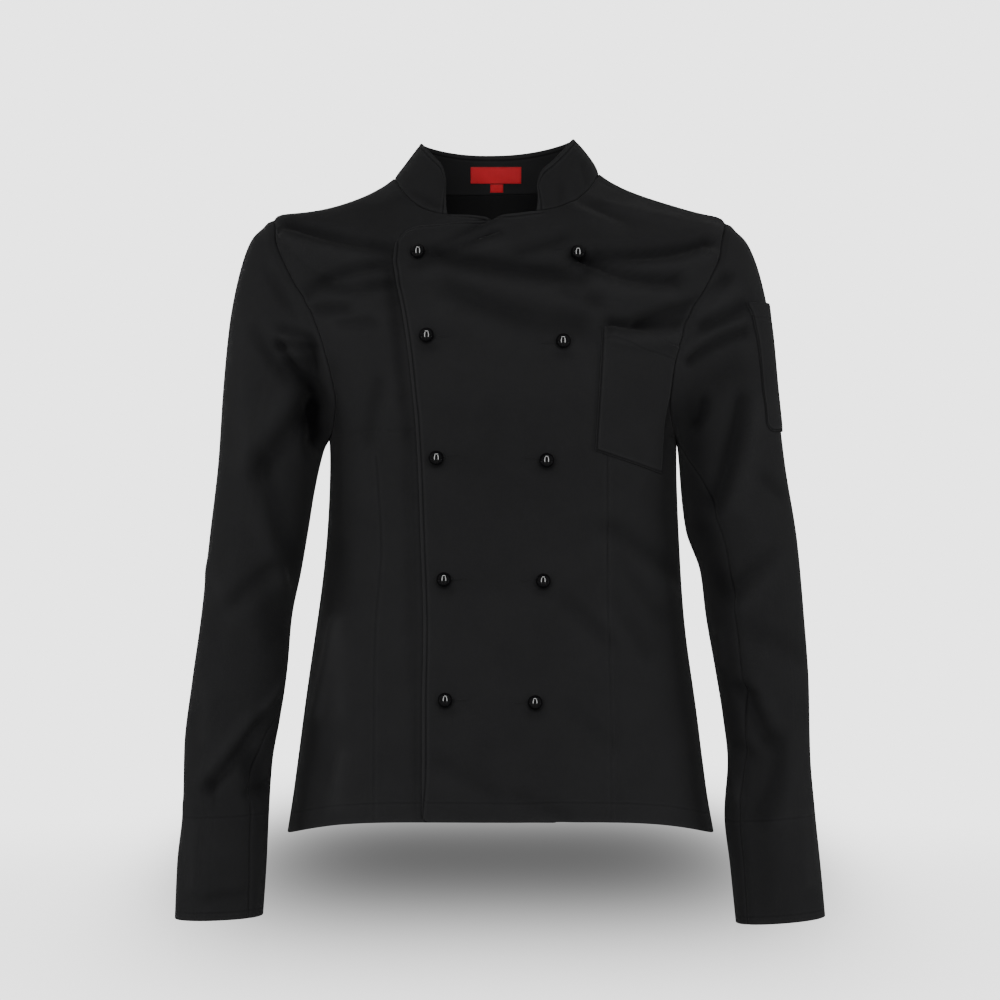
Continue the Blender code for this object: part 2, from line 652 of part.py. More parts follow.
# ---------------------------------------------------------------------------
# Sleeves
# ---------------------------------------------------------------------------
class Sleeve:
    """One sleeve's form.  around is 0 at its outer line and grows towards the front."""

    def __init__(self, name, side, rings, front_folds, back_folds):
        self.name = name
        self.side = side
        self.rings = columns_of(rings)
        self.front_folds = front_folds
        self.back_folds = back_folds

    def armhole(self, around):
        """The armhole's turn and level on the torso, all round the loop."""
        level = 1 + (1 + np.cos(around)) / 2
        front = np.sin(around) >= 0
        reach = np.where(front, edge_turn(level, "front"), np.pi - edge_turn(level, "back"))
        return self.side * reach, level

    def ellipse(self, around, reach):
        ring = {name: smooth(self.rings["reach"], self.rings[name], reach) for name in self.rings}
        out = np.sign(np.cos(around)) * np.abs(np.cos(around)) ** (2 / SLEEVE_SQUARE)
        ahead = np.sign(np.sin(around)) * np.abs(np.sin(around)) ** (2 / SLEEVE_SQUARE)
        x = (ring["outer_x"] + ring["inner_x"]) / 2 + (ring["outer_x"] - ring["inner_x"]) / 2 * out
        z = (ring["outer_z"] + ring["inner_z"]) / 2 + (ring["outer_z"] - ring["inner_z"]) / 2 * out
        y = ring["middle_y"] - ring["depth"] * ahead
        return np.stack([self.side * x, y, z], axis=-1)

    def plain(self, around, reach):
        """Rings that leave the armhole's own loop and ease into ellipses."""
        around, reach = np.broadcast_arrays(np.asarray(around, float), np.asarray(reach, float))
        loop = torso(*self.armhole(around))
        rest = np.clip(1 - reach / CAP_REACH, 0, 1) ** 2
        return self.ellipse(around, reach) + (loop - self.ellipse(around, 0 * reach)) * rest[..., None]

    def form(self, around, reach):
        """The sleeve's outer face with its folds."""
        plain = self.plain(around, reach)
        x, z = plain[..., 0], plain[..., 2]
        ahead = np.sin(np.broadcast_to(around, x.shape))
        front = fold_rise(self.front_folds, x, z) * ease(ahead * 2)
        back = fold_rise(self.back_folds, x, z) * ease(-ahead * 2)
        rise = (front + back) * ease(np.broadcast_to(reach, x.shape) / 0.04)
        return plain + self.side * facing(self.plain, around, reach)[..., :] * rise[..., None]

    def seam_ring(self, around, normal):
        """The first ring's outer points: beside the armhole's edge, clear of it by the seam's gap."""
        turn, level = self.armhole(around)
        edge = torso(turn, level)
        panel = facing(torso, turn, level)
        run = np.roll(edge, -1, axis=0) - np.roll(edge, 1, axis=0)
        away = unit(self.side * np.cross(panel, run))
        doubled = (1 - np.sum(panel * normal, axis=-1, keepdims=True)) / 2
        over = np.clip(np.sum(normal * away, axis=-1, keepdims=True), 0, 1)
        return edge + away * ((1 - doubled) * SEAM + CLOTH * over) + panel * doubled * SEAM

    @staticmethod
    def row_of(reach):
        """The fractional row at a reach: the rows are closer near the armhole."""
        return reach ** (1 / CAP_CROWDING) * SLEEVE_ROWS

    def grid(self):
        """The outer points and normals: rings down the rows, round the sleeve along the columns."""
        around = (np.arange(2 * ARM_ROWS) * np.pi / ARM_ROWS)[None, :]
        reach = (np.arange(SLEEVE_ROWS + 1) / SLEEVE_ROWS)[:, None] ** CAP_CROWDING
        outer = self.form(around, reach)
        normal = self.side * facing(self.form, around, reach)
        outer[0] = self.seam_ring(around[0], normal[0])
        return outer, normal

    def make(self):
        outer, normal = self.grid()
        add_wall(self.name, outer, outer - normal * CLOTH, BLACK_TWILL, closed=True, flip=self.side < 0)


# ---------------------------------------------------------------------------
# Collar and labels
# ---------------------------------------------------------------------------
class Collar:
    """The stand collar: from the neck seam (height 0) to its top edge (height 1)."""

    def __init__(self):
        top = {name: float(getattr(COLLAR_TOP, name)) for name in Ring._fields[1:]}
        self.top = top

    def top_turn(self, x):
        share = abs(x - self.top["shift"]) / (self.top["left"] if x > 0 else self.top["right"])
        return np.sign(x) * np.arcsin(share ** (self.top["square"] / 2))

    def turn(self, along, height):
        """The turn at a share of the way round, from the left end by the back to the right end."""
        start = np.stack([turn_at(COLLAR_LEFT_END.seam_x, 3.0), self.top_turn(COLLAR_LEFT_END.top_x)])
        end = np.stack([turn_at(COLLAR_RIGHT_END.seam_x, 3.0), self.top_turn(COLLAR_RIGHT_END.top_x)])
        first = start[0] + (start[1] - start[0]) * height
        last = 2 * np.pi + end[0] + (end[1] - end[0]) * height
        return first + (last - first) * along

    def seam(self, turn):
        """The panels' upper edge that the collar is sewn to, and its normal."""
        level = np.full(np.shape(turn), 3.0)
        normal = facing(torso, turn, level)
        over_lap = (turn > 0) & (turn < QUARTER)
        column = front_column(np.where(over_lap, turn, 0), level)
        lift = np.where(over_lap, lap_lift(column, level), 0)
        return torso(turn, level) + normal * lift[..., None], normal

    def plain(self, along, height):
        along, height = np.broadcast_arrays(np.asarray(along, float), np.asarray(height, float))
        turn = self.turn(along, height)
        low, _ = self.seam(turn)
        x, y, z = on_ring(self.top, turn, COLLAR_POWER)
        high = np.stack([x, y, z], axis=-1)
        belly = COLLAR_BELLY * 4 * height * (1 - height) * np.clip(np.sin(turn), 0, 1)
        return low + (high - low) * height[..., None] + np.stack([belly, 0 * belly, 0 * belly], axis=-1)

    def grid(self):
        """Outer points and normals; the columns near the front ends are lower, so the ends are round."""
        along = np.linspace(0, 1, COLLAR_COLUMNS + 1)[None, :]
        height = np.linspace(0, 1, COLLAR_ROWS + 1)[:, None]
        inside = np.clip(np.minimum(along, 1 - along) * COLLAR_LENGTH / COLLAR_END_ROUND, 0, 1)
        drop = COLLAR_END_ROUND / COLLAR_HEIGHT * (1 - np.sqrt(1 - (1 - inside) ** 2))
        height = height * (1 - drop)
        outer = self.plain(along, height)
        normal = facing(self.plain, along, height)
        edge, panel = self.seam(self.turn(along, height)[0])
        away = unit(outer[1] - outer[0])
        away = unit(away - panel * np.sum(away * panel, axis=-1, keepdims=True))
        over = np.clip(np.sum(normal[0] * away, axis=-1, keepdims=True), 0, 1)
        outer[0] = edge + away * (COLLAR_GAP + COLLAR_WALL * over)
        return outer, normal

    def make(self):
        outer, normal = self.grid()
        inner = outer - normal * COLLAR_WALL
        add_wall("collar", outer, inner, BLACK_TWILL)
        return inner, -normal


def make_label(name, inner, facing_in, span, heights):
    """A woven ribbon on the collar's inner face at the back, made from the collar's own points."""
    middle = range(COLLAR_COLUMNS // 2 - 6, COLLAR_COLUMNS // 2 + 7)
    xs = np.linspace(*span, 7)
    zs = np.array(heights)
    near = inner[:, middle]
    towards = facing_in[:, middle]
    order = np.argsort(near[0, :, 0])
    rows = []
    for z in zs:
        points = []
        for column in order:
            heights_here = near[:, column, 2]
            points.append([np.interp(z, heights_here, near[:, column, axis]) for axis in range(3)])
        points = np.array(points)
        lean = towards[1, order]
        spots = np.stack([np.interp(xs, points[:, 0], points[:, axis]) for axis in range(3)], axis=-1)
        push = unit(np.stack([np.interp(xs, points[:, 0], lean[:, axis]) for axis in range(3)], axis=-1))
        rows.append((spots, push))
    back = np.stack([spots + push * PATCH_GAP for spots, push in rows])
    front = np.stack([spots + push * (PATCH_GAP + LABEL_WALL) for spots, push in rows])
    add_wall(name, front, back, RED_RIBBON, flip=True)


# ---------------------------------------------------------------------------
# Patches and studs, set on a panel's own facets
# ---------------------------------------------------------------------------
def on_facets(grid, row, column):
    """A value of a grid at a fractional row and column, on the same two triangles as its mesh."""
    low_row = np.clip(np.floor(row).astype(int), 0, grid.shape[0] - 2)
    low_column = np.clip(np.floor(column).astype(int), 0, grid.shape[1] - 2)
    up = (row - low_row)[..., None]
    over = (column - low_column)[..., None]
    here = grid[low_row, low_column]
    above = grid[low_row + 1, low_column]
    right = grid[low_row, low_column + 1]
    corner = grid[low_row + 1, low_column + 1]
    first = here + over * (right - here) + up * (corner - right)
    second = here + up * (above - here) + over * (corner - above)
    return np.where(over > up, first, second)


def top_front_place(x, z):
    """The fractional row and column of the top front at (x, z) seen from the front."""
    level = level_at(x, z)
    column = front_column(turn_at(x, level), level)
    top = lap_top((column - FREE_COLUMN) / (UNDER_COLUMN - FREE_COLUMN))
    high = (level - SHARED_LEVEL) / (top - SHARED_LEVEL)
    level = np.where(high > 0, SHARED_LEVEL + high * (3 - SHARED_LEVEL), level)
    base = base_levels()
    return np.interp(level, base, np.arange(len(base))), column - FREE_COLUMN


def patch_columns(first, last):
    """Columns from first to last in each row that keep to the panel's own columns in between."""
    steps = np.arange(np.min(first) + PATCH_SLIVER, np.max(last), PATCH_STEP)
    steps = np.unique(np.ceil(steps / PATCH_STEP) * PATCH_STEP)
    steps = steps[(steps > np.min(first)) & (steps < np.max(last))]
    order = np.arange(len(steps))
    inner = np.maximum(steps[None, :], first[:, None] + PATCH_SLIVER * (order + 1))
    inner = np.minimum(inner, last[:, None] - PATCH_SLIVER * (len(steps) - order))
    return np.concatenate([first[:, None], inner, last[:, None]], axis=1)


def make_patch(name, outer, normal, row, column):
    """A patch of cloth that lies on a panel, a small gap above its facets."""
    spots = on_facets(outer, row, column)
    push = unit(on_facets(normal, row, column))
    inner = spots + push * PATCH_GAP
    add_wall(name, inner + push * CLOTH, inner, BLACK_TWILL)


def make_chest_pocket(outer, normal):
    """A patch pocket, wider at its top, where its outer edge is caught in the armhole seam."""
    down = np.linspace(1, 0, CHEST_POCKET_ROWS + 1)
    top_in, top_out, low_in, low_out = CHEST_POCKET
    first_x = top_in.x + (low_in.x - top_in.x) * down
    last_x = top_out.x + (low_out.x - top_out.x) * down + CHEST_POCKET_FLARE * ease(1 - down / 0.25)
    first_z = top_in.z + (low_in.z - top_in.z) * down
    last_z = top_out.z + (low_out.z - top_out.z) * down
    _, first = top_front_place(first_x, first_z)
    _, last = top_front_place(last_x, last_z)
    column = patch_columns(first, np.minimum(last, outer.shape[1] - 1 - ARMHOLE_MARGIN))
    across = (column - column[:, :1]) / (column[:, -1:] - column[:, :1])
    z = first_z[:, None] + (last_z - first_z)[:, None] * across
    z = z + CHEST_POCKET_SAG * np.sin(np.pi * across) * (1 - down[:, None])
    base = base_levels()
    level = bisect(lambda at: torso_plain(front_turn(column + FREE_COLUMN, at), at)[..., 2], 0.0, 2.2, z)
    make_patch("chest_pocket", outer, normal, np.interp(level, base, np.arange(len(base))), column)


def make_sleeve_pocket(sleeve):
    """A narrow pocket round the outer side of a sleeve, with round lower corners."""
    outer, normal = sleeve.grid()
    down = np.linspace(0, 1, SLEEVE_POCKET_ROWS + 1)
    front = SLEEVE_POCKET_FRONT[0] + (SLEEVE_POCKET_FRONT[1] - SLEEVE_POCKET_FRONT[0]) * down
    back = np.full(len(down), SLEEVE_POCKET_BACK)
    half = outer.shape[1] // 2
    to_column = ARM_ROWS / np.pi
    column = patch_columns(back * to_column + half, front * to_column + half)
    around = (column - half) / to_column
    edge = np.minimum(around - around[:, :1], around[:, -1:] - around) * SLEEVE_GIRTH_RADIUS
    beside = np.clip(1 - edge / SLEEVE_POCKET_ROUND, 0, 1)
    lift = SLEEVE_POCKET_ROUND * (1 - np.sqrt(1 - beside**2))
    top, bottom = SLEEVE_POCKET_Z
    z = top + (bottom + lift - top) * down[:, None]
    reach = bisect(lambda at: -sleeve.plain(around, at)[..., 2], 0.0, 1.0, -z)
    row = sleeve.row_of(reach)
    make_patch("sleeve_pocket", np.roll(outer, half, axis=1), np.roll(normal, half, axis=1), row, column)


def stud_mesh():
    """A ball on a short neck, turned about its axis and standing on its own origin."""
    lowest = np.arcsin(STUD_NECK / STUD_BALL)
    centre = STUD_NECK_HEIGHT + STUD_BALL * np.cos(lowest)
    latitude = np.linspace(lowest, np.pi, STUD_LATITUDES + 1)
    radius = np.concatenate([[STUD_NECK], STUD_BALL * np.sin(latitude[:-1])])
    height = np.concatenate([[0.0], centre - STUD_BALL * np.cos(latitude[:-1])])
    angle = np.arange(STUD_TURNS) * 2 * np.pi / STUD_TURNS
    x = radius[:, None] * np.cos(angle)
    y = radius[:, None] * np.sin(angle)
    z = np.broadcast_to(height[:, None], x.shape)
    points = np.stack([x, y, z], axis=-1).reshape(-1, 3)
    foot, crown = len(points), len(points) + 1
    points = np.concatenate([points, [[0, 0, 0], [0, 0, centre + STUD_BALL]]]) * MM
    faces = quads(len(radius), STUD_TURNS, True).tolist()
    last = (len(radius) - 1) * STUD_TURNS
    for i in range(STUD_TURNS):
        j = (i + 1) % STUD_TURNS
        faces.append([foot, j, i])
        faces.append([crown, last + i, last + j])
    mesh = bpy.data.meshes.new("stud")
    mesh.from_pydata(points.tolist(), [], faces)
    return mesh


def make_studs(outer, normal):
    for stud in STUDS:
        row, column = top_front_place(np.array(float(stud.x)), np.array(float(stud.z)))
        spot = on_facets(outer, row, column)
        push = unit(on_facets(normal, row, column))
        obj = add_object(stud.name, stud_mesh(), BLACK_GLOSS)
        obj.location = Vector((spot + push * STUD_GAP) * MM)
        obj.rotation_mode = "QUATERNION"
        obj.rotation_quaternion = Vector(push).to_track_quat("Z", "Y")


def main():
    for obj in list(bpy.data.objects):
        bpy.data.objects.remove(obj)
    fronts = front_grids()
    make_chest_pocket(*fronts["front_left"])
    make_studs(*fronts["front_left"])
    make_fronts(fronts)
    make_back()
    right = Sleeve("sleeve_right", -1, SLEEVE_RIGHT, SLEEVE_RIGHT_FRONT_FOLDS, SLEEVE_RIGHT_BACK_FOLDS)
    left = Sleeve("sleeve_left", 1, SLEEVE_LEFT, SLEEVE_LEFT_FRONT_FOLDS, SLEEVE_LEFT_BACK_FOLDS)
    right.make()
    left.make()
    make_sleeve_pocket(left)
    inner, facing_in = Collar().make()
    make_label("label", inner, facing_in, LABEL_SPAN, LABEL_Z)
    make_label("size_tab", inner, facing_in, TAB_SPAN, TAB_Z)


main()
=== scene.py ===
"""Chef jacket, women's size S: its cloth, sewing, studs and studio.

The jacket stands filled out, as when worn, with nobody in it.  Shapes are worked out in
millimetres and become metres in their meshes.  The torso is a stack of closed rings: a point on it
has a turn (0 at the centre front, 90 degrees at the wearer's left side, 180 degrees at the centre
back) and a level (0 at the hem, 1 at the armpits, 2 at the shoulder tips, 3 at the neck seam).  A
sleeve is a stack of rings from its armhole (reach 0) to its cuff (reach 1).

Frame: +X is the wearer's left, +Y is behind, +Z is up.
"""

import logging
from abc import ABC, abstractmethod
from dataclasses import dataclass, field, fields, replace
from enum import Enum
from typing import Callable, Sequence

import bmesh
import bpy
import numpy as np
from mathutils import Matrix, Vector


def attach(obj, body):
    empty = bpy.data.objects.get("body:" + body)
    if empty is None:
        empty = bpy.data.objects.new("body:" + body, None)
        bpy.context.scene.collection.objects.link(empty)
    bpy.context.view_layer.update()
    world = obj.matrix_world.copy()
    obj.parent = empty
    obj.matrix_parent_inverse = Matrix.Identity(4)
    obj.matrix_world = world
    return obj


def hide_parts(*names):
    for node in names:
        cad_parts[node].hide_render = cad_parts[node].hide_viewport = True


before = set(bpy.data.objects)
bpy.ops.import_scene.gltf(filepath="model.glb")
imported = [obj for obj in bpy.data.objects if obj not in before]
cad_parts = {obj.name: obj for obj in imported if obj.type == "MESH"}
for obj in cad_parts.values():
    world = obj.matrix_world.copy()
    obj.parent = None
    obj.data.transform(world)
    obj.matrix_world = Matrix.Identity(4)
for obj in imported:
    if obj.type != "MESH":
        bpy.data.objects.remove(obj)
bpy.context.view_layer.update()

Array = np.ndarray
Surface = Callable[[Array, Array], Array]
Colour = tuple[float, float, float]
Sockets = dict[str, bpy.types.NodeSocket]
LOG = logging.getLogger("chef_jacket")

MM = 0.001
BODY = "root"

# Walls, gaps and edges
CLOTH = 1.5
COLLAR_WALL = 2.2
RIBBON = 0.6
LAP_LIFT = 2.5
NECK_LIFT = 0.8
PATCH_GAP = 0.15
LIP = 1.0
LIP_STEPS = (0.0, 0.25, 0.6, 1.0)
HEM_STITCH = 17.0
PATCH_STITCH = 1.5
NO_LINE = 60.0

# Soft forms of the cloth
END_FADE = 1.3
LIP_AWAY = 1.9
LIP_WIDTH = 1.25
# The painted shade fades out within this many millimetres of a seam
PAINTED_SHADE_FADE = 8.0
UNEVEN_RISE = 0.13
SIDE_FADE = 2.5
SLEEVE_SIDE_FADE = 2
ARM_SHARE = 0.25
ARM_FADE = 0.09
HALVINGS = 28

# The torso's tables
NECK_LEVEL = 3.0
SHOULDER_POWER = 4.0
COLLAR_POWER = 2.0
RING_SPREAD = 0.15
RING_STEPS = 3
TABLE_SIZE = 1501
SLOPE_STEP = 0.004
NECK_LIFT_START = 2.2
NECK_LIFT_RUN = 0.3
BUST_RISE = 7.0
BUST_WIDTH = 55.0
BUST_X = 85.0
BUST_Z = -190.0
SHARED_LEVEL = 2.5
FRONT_SPANS = (7, 3, 10, 3, 6)
FREE_COLUMN = 10
UNDER_COLUMN = 20
LAST_COLUMN = 29
LAP_FADE = (1.0, 5.5)
SIDE_RUN = 356.0
METRE_WAVE = 2000 * np.pi


class Side(Enum):
    """A side of the wearer, as the sign of x."""

    RIGHT = -1
    LEFT = 1


class Face(Enum):
    """A face of the torso, as the way that it looks along -y."""

    FRONT = 1
    BACK = -1


@dataclass(frozen=True)
class Ring:
    """A closed ring of the torso: half widths, depths and heights in millimetres."""

    level: float
    side_z: float
    tilt: float
    front_z: float
    back_z: float
    right: float
    left: float
    front: float
    back: float
    square: float
    shift: float


TORSO_RINGS = (
    Ring(0.00, -577, 0.0, -561, -575, 191, 192, 117, 116, 2.3, 0),
    Ring(0.15, -524, 0.0, -511, -523, 183, 183, 113, 111, 2.3, 0),
    Ring(0.33, -459, 0.0, -448, -458, 175, 176, 107, 103, 2.3, 0),
    Ring(0.50, -399, 0.0, -390, -399, 166, 166, 101, 95, 2.3, 0),
    Ring(0.68, -334, 0.0, -327, -334, 157, 162, 98, 87, 2.3, 0),
    Ring(0.85, -274, 0.0, -267, -272, 153, 159, 106, 87, 2.3, 0),
    Ring(1.00, -220, 0.0, -212, -216, 152, 158, 118, 92, 2.3, 0),
    Ring(1.20, -182, 0.0, -190, -188, 163, 166, 121, 96, 2.3, 0),
    Ring(1.50, -124, 0.0, -156, -146, 179, 181, 120, 97, 2.3, 0),
    Ring(1.75, -74, -1.5, -128, -110, 196, 197, 116, 94, 2.25, 0),
    Ring(2.00, -25, -1.5, -101, -77, 206, 205, 112, 90, 2.35, 0),
    Ring(2.20, -22, -0.5, -86, -60, 183, 183, 109, 87, 2.6, 0),
    Ring(2.50, -15, 1.5, -62, -34, 150, 152, 103, 78, 2.8, -1),
    Ring(2.80, 0, 2.0, -40, -11, 108, 111, 94, 66, 2.6, -4),
    Ring(3.00, 12, 2.0, -27, 0, 89, 95, 88, 58, 2.3, -6),
)
COLLAR_TOP = Ring(4.0, 44, 2.0, 0, 35, 68, 69, 76, 51, 2.2, -3)


# How far an armhole cuts in from a ring's side, as shares of the ring's half width: the share of
# the way round it, then the cut in front and behind
ARMHOLES = (
    (0.00, 0.000, 0.000), (0.15, 0.046, 0.032), (0.30, 0.113, 0.080),
    (0.45, 0.155, 0.110), (0.56, 0.160, 0.114), (0.63, 0.150, 0.110),
    (0.72, 0.106, 0.078), (0.85, 0.050, 0.038), (1.00, 0.000, 0.000),
)


# Where the darts and the free edges of the fronts are: a level, then x for each of the four lines
FRONT_LINE_NAMES = ("dart_right", "free_edge", "under_edge", "dart_left")
FRONT_LINES = (
    (0.00, -111, -68, 54, 98), (0.30, -111, -68, 54, 98),
    (0.50, -110, -67, 53, 96), (0.69, -105, -69, 54, 95),
    (0.87, -108, -71, 57, 95), (1.00, -112, -73, 59, 95),
    (1.50, -120, -79, 65, 99), (1.80, -128, -84, 70, 102),
    (2.12, -132, -90, 76, 112), (2.40, -124, -93, 78, 112),
    (2.70, -108, -87, 64, 96), (3.00, -82, -50, 45, 70),
)


# A front's upper edge where it laps: the share of the way from its free edge, and the level
LAP_EDGE = (
    (0.00, 2.58), (0.06, 2.72), (0.13, 2.80), (0.26, 2.84),
    (0.43, 2.91), (0.56, 2.97), (0.80, 3.00), (1.00, 3.00),
)


@dataclass(frozen=True)
class Fold:
    """A soft trough (rise below 0) or ridge along a line seen from the front or back.

    bow bends its middle sideways, lip is the share of its rise that comes back as a ridge on one
    side (the sign says which), start and end are its strength at its two ends, and soft is the
    share of it that is lost from its middle to its ends.
    """

    x1: float
    z1: float
    x2: float
    z2: float
    bow: float
    width: float
    rise: float
    lip: float = 0.0
    start: float = 1.0
    end: float = 1.0
    soft: float = 0.0


def softened(soft: float, folds: Sequence[Fold]) -> tuple[Fold, ...]:
    """The same folds, with soft ends."""
    return tuple(replace(fold, soft=soft) for fold in folds)


FRONT_SWELLS = (
    Fold(-194, -62, -158, -150, 0, 25, 8.0),
    Fold(188, -72, 156, -160, 0, 25, 8.0),
)
BACK_SWELLS = (
    Fold(-194, -62, -160, -150, 0, 25, 7.0),
    Fold(190, -68, 160, -155, 0, 25, 7.0),
)
FRONT_FOLDS = (
    Fold(-186, -35, -101, -56, -1, 6, -7.4, -0.4, 1.0, 0.6),
    Fold(-170, -97, -103, -71, 6, 6, -7.0, -0.4, 0.7, 0.8),
    Fold(-149, -91, -101, -89, -2, 5.5, -6.0, -0.4, 0.6, 0.8),
    Fold(-145, -123, -102, -119, 4, 10, 2.4),
    Fold(-138, -124, -112, -123, 0, 5, -3.5),
    Fold(-161, -111, -136, -111, 0, 5, -4.5),
    Fold(-95, -80, -84, -190, 0, 6, -2.2),
    Fold(-106, -180, -116, -226, 0, 7, -3.0, 0.3),
    Fold(-56, -64, 70, -83, -1, 8, -7.8, -0.3),
    Fold(-53, -62, -4, -44, 0, 4.5, -5.9, -0.4, 0.4, 1.0),
    Fold(-61, -58, -5, -31, 0, 4.5, -5.4, -0.3, 0.3, 1.0),
    Fold(17, -61, 54, -49, 0, 6, -3.6, -0.3),
    Fold(75, -67, 88, -73, 0, 5, -2.5),
    Fold(-41, -92, 66, -125, -7, 11, -4.6, -0.3),
    Fold(86, -63, 181, -51, -5, 6, -8.0, -0.4, 0.8, 1.0),
    Fold(69, -67, 152, -86, -5, 7, -9.3, -0.4, 1.0, 0.7),
    Fold(57, -96, 82, -104, 0, 6, -3.0, -0.3),
    Fold(98, -125, 162, -122, -3, 6, -8.7, -0.4),
    Fold(70, -15, 108, -31, 0, 6, -3.6, -0.4, soft=0.6),
    Fold(97, -19, 196, -38, 0, 6, 3.0),
    Fold(123, -123, 176, -104, 0, 6, -6.4, -0.3),
    Fold(98, -306, 160, -349, 2, 9, -3.4, -0.3),
    Fold(-48, -510, -8, -535, 1, 8, -2.6, -0.4, 0.7, 0.7),
    Fold(56, -368, 94, -402, 1, 8, -3.0, -0.3, 0.7, 0.8),
    Fold(101, -370, 128, -414, 1, 8, -2.8, -0.3, 0.7, 0.8),
    Fold(110, -334, 142, -382, -1, 8, -2.6, 0, 0.6, 0.8),
    Fold(16, -540, 54, -556, 1, 8, -2.0, -0.3),
    Fold(62, -468, 94, -491, 1, 8, -2.2, 0, 0.6, 0.8),
    Fold(-145, -390, -162, -468, 0, 7, 3.8),
    Fold(-142, -482, -147, -524, 0, 8, -2.6),
    Fold(-138, -505, -143, -528, 0, 5, 2.6),
    Fold(-144, -388, -144, -548, 2, 9, 3.4),
    Fold(-142, -325, -142, -388, 0, 9, -2.4),
)
# Painted shade: soft dark places drawn as folds, which only darken the cloth's colour and do not move it:
# the armpits, beside the top front's edge, under the collar and at the neck
FRONT_SHADES = (
    Fold(-158, -170, -161, -236, 0, 11, -9.0),
    Fold(162, -192, 165, -250, 0, 9, -6.0),
    Fold(-112, -53, -93, -58, 0, 6, -3.2),
    Fold(-112, -72, -93, -68, 0, 6, -3.0),
    Fold(-110, -90, -93, -89, 0, 6, -3.2),
    Fold(-122, -20, -60, -4, 0, 9, -2.2),
    Fold(72, 4, 102, -10, 0, 9, -2.2),
    Fold(-150, -86, -96, -80, 0, 14, -1.2),
    Fold(86, -62, 190, -52, 0, 12, -1.5),
    Fold(-97, -78, -82, -221, 0, 5, -3.2),
    Fold(-82, -221, -74, -520, -1.5, 5, -2.6, 0, 1.0, 0.7),
    Fold(-60, -6, 60, -22, 4, 9, -1.4),
)
# Painted shade on the back just below the collar
BACK_SHADES = (Fold(-50, -6, 50, -6, 0, 16, -4.0),)
# Painted shade on the sleeves' inner sides, under the arms
RIGHT_SLEEVE_SHADES = (
    Fold(-184, -160, -168, -222, 0, 11, -7.5),
    Fold(-171, -230, -178, -330, 0, 6, -3.0),
)
LEFT_SLEEVE_SHADES = (
    Fold(171, -204, 178, -296, 0, 11, -8.0, 0, 1.0, 0.6),
    Fold(182, -308, 196, -352, 0, 10, -5.5),
    Fold(196, -350, 206, -520, 0, 9, -4.0, 0, 1.1, 0.7),
)
BACK_FOLDS = softened(0.85, (
    Fold(-186, -44, -88, -72, -3, 7.5, -6.1, -0.4, 1.0, 0.6),
    Fold(182, -50, 84, -80, 4, 7.5, -6.5, 0.4, 1.0, 0.6),
    Fold(-160, -118, -96, -104, 3, 7.5, -4.9, -0.4),
    Fold(156, -122, 90, -112, -4, 7.5, -5.3, 0.4),
    Fold(-70, -52, 62, -60, -6, 11.2, -4.5, -0.3),
    Fold(-148, -172, -92, -196, 3, 10, -4.2, -0.3),
    Fold(146, -180, 84, -206, -4, 10, -4.5, 0.3),
    Fold(-92, -286, 40, -300, 6, 11.2, -5.3, -0.4),
    Fold(96, -306, -30, -326, -5, 10, -4.9, 0.4),
    Fold(-104, -344, 12, -352, 5, 11.2, -5.3, -0.4),
    Fold(-70, -400, -86, -560, 5, 17.5, 3.1),
    Fold(66, -390, 82, -562, -5, 18.8, 2.9),
    Fold(0, -410, 6, -560, 3, 16.2, -2.6, 0.2),
    Fold(-130, -360, -142, -540, 3, 13.8, -2.5, 0.2),
    Fold(132, -370, 144, -545, -3, 13.8, -2.6, -0.2),
    Fold(-44, -486, -18, -512, 2, 8.8, -3.7, -0.3),
))


@dataclass(frozen=True)
class Spot:
    """A point seen from the front, in millimetres."""

    x: float
    z: float


# Each stud's node, its middle, and the side that its buttonhole runs to
STUDS = (
    ("button_right_1", Spot(-72, -65), Side.LEFT),
    ("button_right_2", Spot(-63, -137), Side.LEFT),
    ("button_right_3", Spot(-54, -240), Side.LEFT),
    ("button_right_4", Spot(-48, -349), Side.LEFT),
    ("button_right_5", Spot(-47, -455), Side.LEFT),
    ("button_left_1", Spot(66, -60), Side.RIGHT),
    ("button_left_2", Spot(54, -143), Side.RIGHT),
    ("button_left_3", Spot(40, -242), Side.RIGHT),
    ("button_left_4", Spot(37, -350), Side.RIGHT),
    ("button_left_5", Spot(30, -457), Side.RIGHT),
)
# Painted shadow just below each stud, in the cloth's colour only
STUD_SHADES = tuple(
    Fold(at.x - 2, at.z - 8.5, at.x + 3, at.z - 8.5, 0, 5, -4.0) for _, at, _ in STUDS
)


@dataclass(frozen=True)
class SleeveRing:
    """A ring of a sleeve: its outer and inner end seen from the front, its depth and its middle."""

    reach: float
    outer_x: float
    outer_z: float
    inner_x: float
    inner_z: float
    middle_y: float
    depth: float


SLEEVE_RIGHT = (
    SleeveRing(0.00, 200, -33, 152, -220, -3, 58),
    SleeveRing(0.05, 220, -46, 157, -229, -3, 61),
    SleeveRing(0.10, 232, -72, 161, -243, -3, 62),
    SleeveRing(0.17, 243, -122, 167, -272, -3, 61),
    SleeveRing(0.25, 249, -182, 172, -303, -3, 60),
    SleeveRing(0.35, 253, -243, 179, -344, -4, 57),
    SleeveRing(0.45, 261, -314, 187, -384, -6, 54),
    SleeveRing(0.55, 268, -381, 191, -430, -9, 52),
    SleeveRing(0.65, 276, -440, 197, -473, -12, 50),
    SleeveRing(0.74, 283, -500, 204, -514, -15, 48),
    SleeveRing(0.83, 284, -554, 207, -560, -18, 47),
    SleeveRing(0.91, 289, -603, 209, -604, -20, 46),
    SleeveRing(1.00, 291, -653, 212, -650, -22, 45),
)
